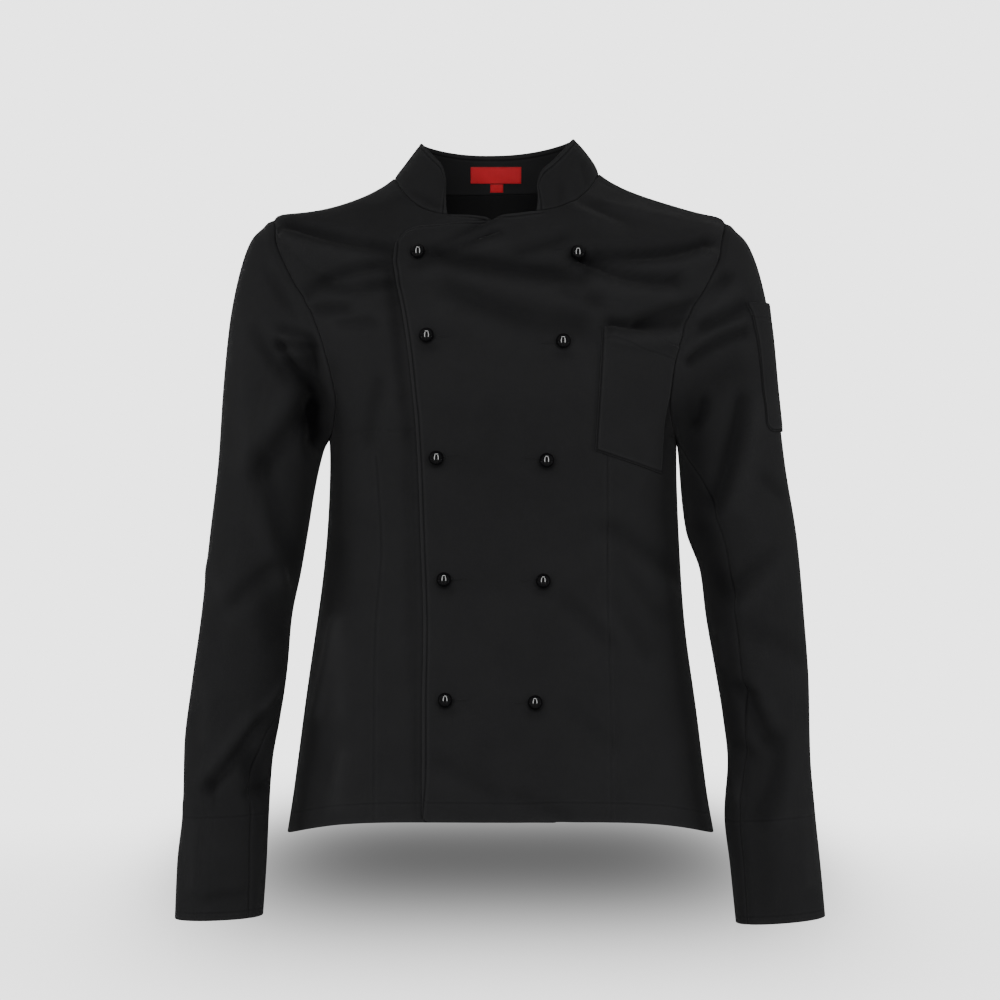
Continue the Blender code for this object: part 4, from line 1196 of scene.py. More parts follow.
def twill_group() -> bpy.types.NodeTree:
    """Twill weave: fine diagonal wales broken by the threads that cross them.

    Height is a wave along the diagonal plus a quarter of a finer wave across it.  Slub is a slow
    noise along the threads.

    Returns:
        The group.
    """
    sheet, given, made = new_group("twill weave", {"Cut": None, "Pitch": 0.7}, ("Height", "Slub"))
    parts = sheet.add("ShaderNodeSeparateXYZ")
    sheet.join(given["Cut"], parts.inputs[0])
    scale = sheet.math("DIVIDE", METRE_WAVE, given["Pitch"])
    diagonal = sheet.math("ADD", parts.outputs[0], sheet.math("MULTIPLY", parts.outputs[1], 0.62))
    crossing = sheet.math("SUBTRACT", parts.outputs[0], sheet.math("MULTIPLY", parts.outputs[1], 1.6))
    wale = sheet.math("SINE", sheet.math("MULTIPLY", diagonal, scale))
    thread = sheet.math("SINE", sheet.math("MULTIPLY", crossing, scale))
    sheet.join(sheet.math("ADD", wale, sheet.math("MULTIPLY", thread, 0.25)), made["Height"])
    stretch = sheet.add("ShaderNodeMapping")
    stretch.inputs["Scale"].default_value = (1.0, 0.12, 1.0)
    sheet.join(given["Cut"], stretch.inputs["Vector"])
    noise = sheet.add("ShaderNodeTexNoise")
    noise.inputs["Scale"].default_value = 900.0
    noise.inputs["Detail"].default_value = 3.0
    sheet.join(stretch.outputs[0], noise.inputs["Vector"])
    sheet.join(noise.outputs[0], made["Slub"])
    return sheet.tree


def stitch_group() -> bpy.types.NodeTree:
    """A row of machine stitches: a narrow groove, a soft ridge on both sides, and threads in it.

    Groove is a bell of the distance from the line.  Ridge is a bell about 2 mm to each side.
    Thread is the groove where the run along the line is inside a stitch.

    Returns:
        The group.
    """
    inputs = {"Distance": NO_LINE, "Cut": None, "Width": 0.75, "Ridge at": 2.0, "Stitch": 2.6}
    sheet, given, made = new_group("sewn line", inputs, ("Groove", "Ridge", "Thread"))
    away = sheet.math("ABSOLUTE", given["Distance"])
    share = sheet.math("DIVIDE", away, given["Width"])
    groove = sheet.math("EXPONENT", sheet.math("MULTIPLY", sheet.math("MULTIPLY", share, share), -1.0))
    side = sheet.math("SUBTRACT", away, given["Ridge at"])
    ridge = sheet.math("EXPONENT", sheet.math("MULTIPLY", sheet.math("MULTIPLY", side, side), -0.7))
    parts = sheet.add("ShaderNodeSeparateXYZ")
    sheet.join(given["Cut"], parts.inputs[0])
    run = sheet.math("MULTIPLY", sheet.math("ADD", parts.outputs[0], parts.outputs[1]), METRE_WAVE)
    beat = sheet.math("SINE", sheet.math("DIVIDE", run, given["Stitch"]))
    thread = sheet.math("MULTIPLY", groove, sheet.math("MULTIPLY_ADD", beat, 2.0, 1.2, clamp=True))
    sheet.join(groove, made["Groove"])
    sheet.join(ridge, made["Ridge"])
    sheet.join(thread, made["Thread"])
    return sheet.tree


def patchy_group() -> bpy.types.NodeTree:
    """Slow patches of tone over a surface, about 0.5 on average, from a large and a small noise.

    Returns:
        The group.
    """
    inputs = {"Place": None, "Size": 30.0, "Fine": 0.35}
    sheet, given, made = new_group("patchy tone", inputs, ("Tone",))
    large = sheet.add("ShaderNodeTexNoise")
    large.inputs["Detail"].default_value = 2.0
    small = sheet.add("ShaderNodeTexNoise")
    small.inputs["Detail"].default_value = 4.0
    for node, times in ((large, 1.0), (small, 14.0)):
        sheet.join(given["Place"], node.inputs["Vector"])
        sheet.join(sheet.math("DIVIDE", 1000.0 * times, given["Size"]), node.inputs["Scale"])
    first = sheet.math("MULTIPLY", large.outputs[0], sheet.math("SUBTRACT", 1.0, given["Fine"]))
    sheet.join(sheet.math("MULTIPLY_ADD", small.outputs[0], given["Fine"], first), made["Tone"])
    return sheet.tree


# ==== Finishes ====
@dataclass(frozen=True)
class TwillFinish:
    """Black twill, matt, with its sewn lines, painted shade in folds, grooves and seams, and painted
    highlights on ridges and edges.
    """

    name: str = "black_twill"
    dark: Colour = (0.0122, 0.0122, 0.0127)
    pale: Colour = (0.0168, 0.0168, 0.0174)
    line_tone: float = 1.6
    ridge_tone: float = 0.5
    seam_tone: float = 1.1
    brim_tone: float = 1.0
    hollow_tone: float = 0.17
    roughness: float = 0.88
    sheen: float = 0.03
    gleam: float = 0.02
    sheen_roughness: float = 0.45
    pitch_mm: float = 0.8
    weave_mm: float = 0.035
    slub_mm: float = 0.05
    groove_mm: float = 0.42
    ridge_mm: float = 0.22
    thread_mm: float = 0.25
    seam_mm: float = 0.5
    seam_width: float = 0.75
    seam_ridge_at: float = 2.6
    slub_tone: float = 0.35
    darkest: float = -2.3
    line_shares: tuple[tuple[str, float], ...] = (("sewn_a", 1.0), ("sewn_b", 0.3))

    def make(
        self, twill: bpy.types.NodeTree, stitch: bpy.types.NodeTree, patchy: bpy.types.NodeTree
    ) -> bpy.types.Material:
        """Makes the material.

        Args:
            twill: The weave's node group.
            stitch: The sewn line's node group.
            patchy: The patchy tone's node group.

        Returns:
            The material.
        """
        material, sheet, shader = new_material(self.name)
        shader.inputs["Roughness"].default_value = self.roughness
        shader.inputs["Sheen Weight"].default_value = self.sheen
        shader.inputs["Sheen Roughness"].default_value = self.sheen_roughness
        shader.inputs["Specular IOR Level"].default_value = self.gleam
        cut = sheet.add("ShaderNodeUVMap", uv_map="cut").outputs[0]
        place = sheet.add("ShaderNodeTexCoord").outputs["Object"]
        weave = sheet.group(twill, {"Pitch": self.pitch_mm, "Cut": cut})
        tone = sheet.group(patchy, {"Place": place})
        height = sheet.math("MULTIPLY", weave["Height"], self.weave_mm)
        height = sheet.math("MULTIPLY_ADD", weave["Slub"], self.slub_mm, height)
        shade = sheet.math("MULTIPLY_ADD", weave["Slub"], self.slub_tone, tone["Tone"])
        for attribute, share in self.line_shares:
            line = sheet.group(stitch, {"Distance": sheet.read(attribute), "Cut": cut})
            height = sheet.math("MULTIPLY_ADD", line["Groove"], -self.groove_mm * share, height)
            height = sheet.math("MULTIPLY_ADD", line["Ridge"], self.ridge_mm * share, height)
            height = sheet.math("MULTIPLY_ADD", line["Thread"], self.thread_mm * share, height)
            # Painted shade in each stitch groove, and a painted highlight on the ridges beside it
            shade = sheet.math("MULTIPLY_ADD", line["Groove"], -self.line_tone * share, shade)
            shade = sheet.math("MULTIPLY_ADD", line["Ridge"], self.ridge_tone * share, shade)
        given = {"Width": self.seam_width, "Ridge at": self.seam_ridge_at, "Distance": sheet.read("seam")}
        seam = sheet.group(stitch, given)
        height = sheet.math("MULTIPLY_ADD", seam["Groove"], -self.seam_mm, height)
        height = sheet.math("MULTIPLY_ADD", seam["Ridge"], self.ridge_mm * 0.5, height)
        # Painted shade in the seam's groove, and a painted highlight on its ridges
        shade = sheet.math("MULTIPLY_ADD", seam["Groove"], -self.seam_tone, shade)
        shade = sheet.math("MULTIPLY_ADD", seam["Ridge"], self.ridge_tone * 0.4, shade)
        # Painted highlight along the rolled edges: lighter towards each edge
        edge_highlight = sheet.math("EXPONENT", sheet.math("MULTIPLY", sheet.read("brim"), -0.5))
        shade = sheet.math("MULTIPLY_ADD", edge_highlight, self.brim_tone, shade)
        # Painted shade: darker in folds and dark places, by their depth
        shade = sheet.math("MULTIPLY_ADD", sheet.read("hollow"), self.hollow_tone, shade)
        shade = sheet.math("MAXIMUM", shade, self.darkest)
        sheet.blend(shade, (self.dark, self.pale), shader, clamp=False)
        sheet.emboss(height, MM, shader)
        return material


@dataclass(frozen=True)
class GlossFinish:
    """Polished black plastic of the ball studs."""

    name: str = "black_gloss"
    colour: Colour = (0.0030, 0.0030, 0.0033)
    roughness: tuple[float, float] = (0.02, 0.05)

    def make(self, patchy: bpy.types.NodeTree) -> bpy.types.Material:
        """Makes the material, a little less polished in patches.

        Args:
            patchy: The group of slow patches.

        Returns:
            The material.
        """
        material, sheet, shader = new_material(self.name)
        shader.inputs["Base Color"].default_value = (*self.colour, 1.0)
        shader.inputs["IOR"].default_value = 1.5
        place = sheet.add("ShaderNodeTexCoord").outputs["Object"]
        tone = sheet.group(patchy, {"Size": 8.0, "Place": place})
        low, high = self.roughness
        rough = sheet.math("MULTIPLY_ADD", tone["Tone"], high - low, low)
        sheet.join(rough, shader.inputs["Roughness"])
        return material


@dataclass(frozen=True)
class RibbonFinish:
    """Red woven ribbon of the bare neck label."""

    name: str = "red_ribbon"
    deep: Colour = (0.300, 0.0058, 0.0100)
    bright: Colour = (0.540, 0.0150, 0.0240)
    rib_mm: float = 0.45
    relief_mm: float = 0.05

    def make(self, patchy: bpy.types.NodeTree) -> bpy.types.Material:
        """Makes the material: fine ribs across the ribbon, and a darker woven edge.

        Args:
            patchy: The group of slow patches.

        Returns:
            The material.
        """
        material, sheet, shader = new_material(self.name)
        shader.inputs["Roughness"].default_value = 0.55
        shader.inputs["Sheen Weight"].default_value = 0.1
        shader.inputs["Specular IOR Level"].default_value = 0.12
        cut = sheet.add("ShaderNodeUVMap", uv_map="cut").outputs[0]
        parts = sheet.add("ShaderNodeSeparateXYZ")
        sheet.join(cut, parts.inputs[0])
        waves = []
        for i, times in ((0, 1.0), (1, 1.35)):
            run = sheet.math("MULTIPLY", parts.outputs[i], METRE_WAVE / (self.rib_mm * times))
            waves.append(sheet.math("SINE", run))
        woven = sheet.math("MULTIPLY", waves[0], waves[1])
        tone = sheet.group(patchy, {"Size": 12.0, "Place": cut})
        edge = sheet.math("EXPONENT", sheet.math("MULTIPLY", sheet.read("brim"), -1.6))
        shade = sheet.math("MULTIPLY_ADD", woven, 0.18, tone["Tone"])
        shade = sheet.math("MULTIPLY_ADD", edge, -0.6, shade, clamp=True)
        sheet.blend(shade, (self.deep, self.bright), shader)
        sheet.emboss(woven, self.relief_mm * MM, shader)
        return material


class Finishes:
    """All finishes, made once."""

    def __init__(self) -> None:
        """Makes the node groups and the three materials."""
        twill, stitch, patchy = twill_group(), stitch_group(), patchy_group()
        self.twill = TwillFinish().make(twill, stitch, patchy)
        self.gloss = GlossFinish().make(patchy)
        self.ribbon = RibbonFinish().make(patchy)


def dress(obj: bpy.types.Object, material: bpy.types.Material, *nodes: str) -> None:
    """Gives a piece its finish, puts it on the body, and lets it stand for its solids.

    Args:
        obj: The piece.
        material: Its material, named after the record's slot.
        *nodes: The solids that it replaces.
    """
    obj.data.materials.append(material)
    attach(obj, BODY)
    if nodes:
        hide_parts(*nodes)
    LOG.info("%s: %d faces", obj.name, len(obj.data.polygons))


@dataclass(frozen=True)
class Cut:
    """A sheet's flat cut: width and length in metres, its area, and how it is held."""

    width: float
    length: float
    area: float
    held: str = "hung"
    rests_on: tuple[str, ...] = ()

    def declare(self, obj: bpy.types.Object, shell: Shell) -> None:
        LOG.info("%s: shown area %.4f, cut %.4f m2", obj.name, shell.area(), self.area)


@dataclass
class ClothPiece(ABC):
    """A cut and sewn piece: its name, the solid that it stands for and its flat cut."""

    name: str
    node: str
    cut: Cut

    @abstractmethod
    def shell(self) -> Shell:
        """The piece's wall of cloth with its sewn lines."""

    def finish(self, finishes: Finishes) -> bpy.types.Material:
        """What the piece is made of."""
        return finishes.twill

    def make(self, finishes: Finishes) -> None:
        """Args:
            finishes: The finishes to choose from.
        """
        shell = self.shell()
        piece = shell.build()
        dress(piece, self.finish(finishes), self.node)
        self.cut.declare(piece, shell)


# ==== Fronts and back ====
# Rows and columns of the small pieces' grids
RIBBON_COLUMNS = 40
RIBBON_ROWS = 14
PATCH_ROWS = 44
PATCH_COLUMNS = 30
PEN_COLUMNS = 26

HEM_STEPS = (0.0, 0.25, 0.6, 1.0, 2.0, 4.0, 7.0, 11.0, 14.0, 17.0, 20.0, 24.0)
ARM_ROWS = 72
NECK_ROWS = 32
BODY_ROWS = 104
NECK_CROWDING = 1.6
FREE_STEPS = (0, 0.018, 0.045, 0.075, 0.14, 0.22, 0.3, 0.4, 0.52, 0.7)
SIDE_STEPS = (0, 0.012, 0.03, 0.05, 0.1, 0.18)
BACK_STEPS = (0, 0.0012, 0.003, 0.005, 0.01, 0.018)
SEAM_SINK = 0.2


def panel_levels() -> Array:
    """The levels of a panel's rows.

    They are steps near the hem and even up to the armpits.  Beside an armhole they crowd at both
    its ends, as the sleeve's columns do, and they come closer and closer towards the neck seam.

    Returns:
        The rising levels.
    """
    body = spread(np.array(HEM_STEPS) / SIDE_RUN, (0.0,), 0.0, 1.0, BODY_ROWS)
    arm = 1 + (1 - np.cos(np.pi * np.arange(1, ARM_ROWS + 1) / ARM_ROWS)) / 2
    neck = 2 + (1 - (1 - np.arange(1, NECK_ROWS + 1) / NECK_ROWS) ** NECK_CROWDING)
    return np.concatenate([body, arm, neck])


def seam_valley(distance: Array, depth: float = 0.5) -> Array:
    """How far cloth sinks beside a seam and swells past it: two bells of the distance."""
    return depth * (0.5 * np.exp(-(((distance - 7) / 5) ** 2)) - np.exp(-((distance / 2.4) ** 2)))


@dataclass
class FrontPanel(ClothPiece):
    """One front, from its free edge to its side seam, with its long dart and stitched edges."""

    torso: TorsoForm
    side: Side
    edge_stitch: float = 3.6
    hem_round: float = 8.0
    corner_level: float = 0.12
    column_mm: float = 12.2
    level_mm: float = 76
    dart_depth: float = 1.1
    dart_width: float = 4.0
    dart_top: float = -218.0
    dart_fade: float = 22
    dart_slant: float = 1.08
    lap_valley: float = 1.7
    lap_seam: float = 0.7
    lap_columns: float = 9.0
    column_count: int = 140

    def columns(self) -> Array:
        """Columns from the free edge to the side seam, close together near both.

        Returns:
            The columns.
        """
        if self.side is Side.LEFT:
            return spread(FREE_STEPS, SIDE_STEPS, FREE_COLUMN, LAST_COLUMN, self.column_count)
        return spread(SIDE_STEPS, FREE_STEPS, 0, UNDER_COLUMN, self.column_count)

    def grid_levels(self, column: Array) -> Array:
        """The level of each grid point.

        High rows end at the column's own top, and low rows at a round corner.

        Args:
            column: The panel's columns.

        Returns:
            The levels, one row for each of the panel's rows.
        """
        base = panel_levels()[:, None]
        lap = UNDER_COLUMN - FREE_COLUMN
        free = column - FREE_COLUMN if self.side is Side.LEFT else UNDER_COLUMN - column
        top = self.torso.lap_top(free / lap)[None, :]
        high = (base - SHARED_LEVEL) / (NECK_LEVEL - SHARED_LEVEL)
        levels = np.where(high > 0, SHARED_LEVEL + high * (top - SHARED_LEVEL), base)
        away = np.clip(free * self.column_mm, 0, self.hem_round)[None, :]
        drop = self.hem_round - np.sqrt(self.hem_round**2 - (self.hem_round - away) ** 2)
        return levels + drop / SIDE_RUN * np.clip(1 - levels / self.corner_level, 0, 1)

    def lap_distance(self, column: Array, level: Array, across: Array, up: Array) -> Array:
        """How far a point of the under front lies outside the top front's edge, below 0 under it.

        It is the larger of two: the run along the row from the free edge's column, which gives way
        at the round corner, and the levels above the top front's upper edge, as millimetres.

        Args:
            column: The panel's columns.
            level: The level of each grid point.
            across: The run along each row.
            up: The run along each column.

        Returns:
            The distance in millimetres.
        """
        beside = across[:, [np.argmin(np.abs(column - FREE_COLUMN))]] - across
        short = np.clip(self.hem_round - up, 0, self.hem_round)
        beside = beside + self.hem_round - np.sqrt(self.hem_round**2 - short**2)
        share = (column - FREE_COLUMN) / (UNDER_COLUMN - FREE_COLUMN)
        return np.maximum(beside, (level - self.torso.lap_top(share)[None, :]) * self.level_mm)

    def dart(self, outer: Array, level: Array) -> tuple[Array, Array]:
        """The distance of each point from the dart's line, and the dart's strength there.

        Args:
            outer: The outer points.
            level: Their levels.

        Returns:
            The distance, below 0 on its right, and the strength, which fades at the dart's top.
        """
        line = self.torso.line_x("dart_left" if self.side is Side.LEFT else "dart_right", level)
        distance = (outer[..., 0] - line) * self.dart_slant
        return distance, ease((self.dart_top - outer[..., 2]) / self.dart_fade)

    def shell(self) -> Shell:
        """The panel's wall of cloth with its sewn lines.

        Returns:
            The wall.
        """
        torso = self.torso
        column = self.columns()
        level = self.grid_levels(column)
        turn = torso.front_turn(column[None, :], level)
        outer = torso.surface(turn, level)
        normal = facing(torso.surface, turn, level)
        left = self.side is Side.LEFT
        if left:
            outer = outer + normal * torso.lap_lift(column[None, :], level)[..., None]
        across = run_along(outer, 1)
        up = run_along(outer, 0)
        free = across if left else across[:, -1:] - across
        side = across[:, -1:] - across if left else across
        top = up[-1:] - up
        dart, fade = self.dart(outer, level)
        groove = -self.dart_depth * np.exp(-((dart / self.dart_width) ** 2)) * fade
        rim = np.full(1, NO_LINE) if left else self.lap_distance(column, level, across, up)
        valley = -self.lap_valley * np.exp(-(((rim - 2) / 3) ** 2))
        relief = groove + valley + seam_valley(side, SEAM_SINK)
        outer = outer + normal * relief[..., None]
        lapped = np.abs(column - (FREE_COLUMN if left else UNDER_COLUMN))[None, :] < self.lap_columns
        edge = np.where(lapped, np.minimum(free, top), free)
        # The seam line also runs just beside the top front's edge on the under front: a small groove with
        # a painted shadow line in it
        seam = np.minimum(side, np.abs(rim - self.lap_seam))
        # Painted shade: the folds, the armpits, the lap edge and a shadow below each stud darken the
        # cloth's colour
        shades = hollow(FRONT_SHADES + STUD_SHADES, outer, side + PAINTED_SHADE_FADE)
        lines = {
            "sewn_a": edge - self.edge_stitch,
            "sewn_b": up - HEM_STITCH,
            "seam": np.minimum(seam, np.abs(dart) + NO_LINE * (1 - fade)),
            "brim": np.minimum(edge, up),
            "hollow": hollow(FRONT_FOLDS, outer, side) + shades,
        }
        return Shell(self.name, outer, normal, lines=lines)


@dataclass
class BackPanel(ClothPiece):
    """The plain back, between the side seams, the armholes and the collar seam."""

    torso: TorsoForm
    column_count: int = 150

    def shell(self) -> Shell:
        """The panel's wall of cloth with its sewn lines.

        Returns:
            The wall.
        """
        share = spread(BACK_STEPS, BACK_STEPS, -1.0, 1.0, self.column_count)[None, :]
        level = panel_levels()[:, None]
        turn = np.pi + share * self.torso.edge_turn(level, Face.BACK)
        level = np.broadcast_to(level, turn.shape)
        outer = self.torso.surface(turn, level)
        normal = facing(self.torso.surface, turn, level)
        up = run_along(outer, 0)
        side = from_ends(run_along(outer, 1))
        outer = outer + normal * seam_valley(side, SEAM_SINK)[..., None]
        lines = {
            "sewn_b": up - HEM_STITCH,
            "seam": side,
            "brim": up,
            # Painted shade of the back's folds and under the collar
            "hollow": hollow(BACK_FOLDS + BACK_SHADES, outer, side),
        }
        return Shell(self.name, outer, normal, lines=lines)


# ==== Sleeves ====
FRONT_SEED = 5.1
BACK_SEED = 7.7
CAP_FADE = 0.04
CAP_STEPS = (*LIP_STEPS, 2.0, 3.5, 5.5, 8.0)
CUFF_STEPS = (*LIP_STEPS, 2.0, 4.0, 5.5, 7.0, 8.5, 11.0)


@dataclass
class SleeveForm:
    """One sleeve's form.  around is 0 at its outer line and grows towards the front."""

    torso: TorsoForm
    side: Side
    rings: tuple[SleeveRing, ...]
    front_folds: tuple[Fold, ...]
    back_folds: tuple[Fold, ...]
    shades: tuple[Fold, ...]
    inseam: tuple[tuple[float, float], ...]

    def __post_init__(self) -> None:
        """Keeps the tables as columns."""
        self.table = columns_of(self.rings)

    def armhole(self, around: Array) -> tuple[Array, Array]:
        """The armhole's turn and level on the torso, all round the loop.

        Args:
            around: Angles round the sleeve.

        Returns:
            The turns and the levels.
        """
        level = 1 + (1 + np.cos(around)) / 2
        front = self.torso.edge_turn(level, Face.FRONT)
        back = np.pi - self.torso.edge_turn(level, Face.BACK)
        return self.side.value * np.where(np.sin(around) >= 0, front, back), level

    def ellipse(self, around: Array, reach: Array) -> Array:
        """A ring of the sleeve: a squared ellipse across the line between its two ends.

        Args:
            around: Angles round the sleeve.
            reach: Shares of the sleeve's length.

        Returns:
            The points.
        """
        ring = {name: smooth(self.table["reach"], self.table[name], reach) for name in self.table}
        out = np.sign(np.cos(around)) * np.abs(np.cos(around)) ** (2 / SLEEVE_SQUARE)
        ahead = np.sign(np.sin(around)) * np.abs(np.sin(around)) ** (2 / SLEEVE_SQUARE)
        x = (ring["outer_x"] + ring["inner_x"]) / 2 + (ring["outer_x"] - ring["inner_x"]) / 2 * out
        z = (ring["outer_z"] + ring["inner_z"]) / 2 + (ring["outer_z"] - ring["inner_z"]) / 2 * out
        y = ring["middle_y"] - ring["depth"] * ahead
        return np.stack([self.side.value * x, y, z], axis=-1)

    def plain(self, around: Array, reach: Array) -> Array:
        """Rings that leave the armhole's own loop and ease into ellipses.

        Args:
            around: Angles round the sleeve.
            reach: Shares of the sleeve's length.

        Returns:
            The points.
        """
        around, reach = np.broadcast_arrays(np.asarray(around, float), np.asarray(reach, float))
        loop = self.torso.surface(*self.armhole(around))
        rest = np.clip(1 - reach / CAP_REACH, 0, 1) ** 2
        return self.ellipse(around, reach) + (loop - self.ellipse(around, 0 * reach)) * rest[..., None]

    def surface(self, around: Array, reach: Array) -> Array:
        """The sleeve's outer face with its folds, which fade out at its sides and its armhole.

        Args:
            around: Angles round the sleeve.
            reach: Shares of the sleeve's length.

        Returns:
            The points.
        """
        around, reach = np.broadcast_arrays(np.asarray(around, float), np.asarray(reach, float))
        plain = self.plain(around, reach)
        x, z = plain[..., 0], plain[..., 2]
        ahead = np.sin(around)
        front = fold_rise(self.front_folds, x, z) + unevenness(x, z, FRONT_SEED)
        back = fold_rise(self.back_folds, x, z) + unevenness(x, z, BACK_SEED)
        front, back = front * ease(ahead * SLEEVE_SIDE_FADE), back * ease(-ahead * SLEEVE_SIDE_FADE)
        rise = (front + back) * ease(reach / CAP_FADE)
        return plain + self.out(self.plain, around, reach) * rise[..., None]

    def out(self, surface: Surface, around: Array, reach: Array) -> Array:
        """The outward normal of a surface of this sleeve."""
        return self.side.value * facing(surface, around, reach)

    def seam_at(self, reach: Array) -> Array:
        """Where the inseam lies round the ring at a reach."""
        return np.radians(smooth(*np.array(self.inseam).T, reach))


@dataclass
class SleeveTube(ClothPiece):
    """A long set-in sleeve with its inseam, cuff facing and cuff stitches."""

    form: SleeveForm
    cuff_stitch: float = 7.0
    facing_stitch: float = 92.0
    cap_swell: float = 1.6
    cap_swell_at: float = 6
    cap_swell_width: float = 5
    cap_sink: float = 0.15
    turn_over: float = 7
    seam_start: float = 10
    column_count: int = 144
    row_count: int = 176

    def shell(self) -> Shell:
        """The sleeve's wall of cloth with its sewn lines.

        Returns:
            The wall.
        """
        form = self.form
        top, low = np.array(CAP_STEPS) / SLEEVE_RUN, np.array(CUFF_STEPS) / SLEEVE_RUN
        reach = spread(top, low, 0.0, 1.0, self.row_count)[:, None]
        base = (np.arange(self.column_count) * 2 * np.pi / self.column_count)[None, :]
        around = base + (form.seam_at(reach) - np.pi) * (1 - np.cos(base)) / 2
        reach = np.broadcast_to(reach, around.shape)
        outer = form.surface(around, reach)
        normal = form.out(form.surface, around, reach)
        down = run_along(outer, 0)
        seam = np.broadcast_to(self.inseam_distance(outer), down.shape)
        panel = facing(form.torso.surface, *form.armhole(around[:1]))
        normal = turned(panel, normal, ease(down / self.turn_over))
        bell = np.exp(-(((down - self.cap_swell_at) / self.cap_swell_width) ** 2))
        swell = self.cap_swell * bell * ease(np.cos(around))
        inseam = seam_valley(seam) * ease(down / self.seam_start)
        relief = seam_valley(down, self.cap_sink) + inseam + swell
        outer = outer + normal * relief[..., None]
        low = down[-1:] - down
        halfway = (self.cuff_stitch + self.facing_stitch) / 2
        lines = {
            "sewn_b": np.where(low < halfway, low - self.cuff_stitch, self.facing_stitch - low),
            "seam": np.minimum(down, seam),
            "brim": low,
            # Painted shade of the sleeve's folds and dark places
            "hollow": self.hollow(outer, around, down),
        }
        return Shell(self.name, outer, normal, closed=True, lines=lines)

    def hollow(self, outer: Array, around: Array, down: Array) -> Array:
        """The sleeve's painted shade: how deep each point lies in its folds and dark places.

        Args:
            outer: The outer points.
            around: Angles round the sleeve.
            down: The run down the sleeve at each point.

        Returns:
            A depth for each point.
        """
        form = self.form
        ahead = np.sin(around)
        front = hollow(form.front_folds, outer, down)
        front = front + hollow(form.shades, outer, down + PAINTED_SHADE_FADE)
        back = hollow(form.back_folds, outer, down)
        return front * ease(ahead * SLEEVE_SIDE_FADE) + back * ease(-ahead * SLEEVE_SIDE_FADE)

    def inseam_distance(self, outer: Array) -> Array:
        """The distance round each ring from the inseam's column, the nearer way.

        Args:
            outer: The outer points.

        Returns:
            The distances, in millimetres.
        """
        middle = self.column_count // 2
        rolled = np.roll(outer, -middle, axis=1)
        ring = run_along(np.concatenate([rolled, rolled[:, :1]], axis=1), 1)
        near = np.minimum(ring, ring[:, -1:] - ring)[:, :-1]
        return np.roll(near, middle, axis=1)


# ==== Collar and labels ====
COLLAR_END_STEPS = (*LIP_STEPS, 2.0, 3.2, 4.4, 5.6, 7.5, 9.5, 12.0)
COLLAR_LOW_STEPS = (*LIP_STEPS, 2.0)
COLLAR_TOP_STEPS = (*LIP_STEPS, 2.2, 3.4, 4.4, 5.4, 7.0)
SPOT_STEPS = 12


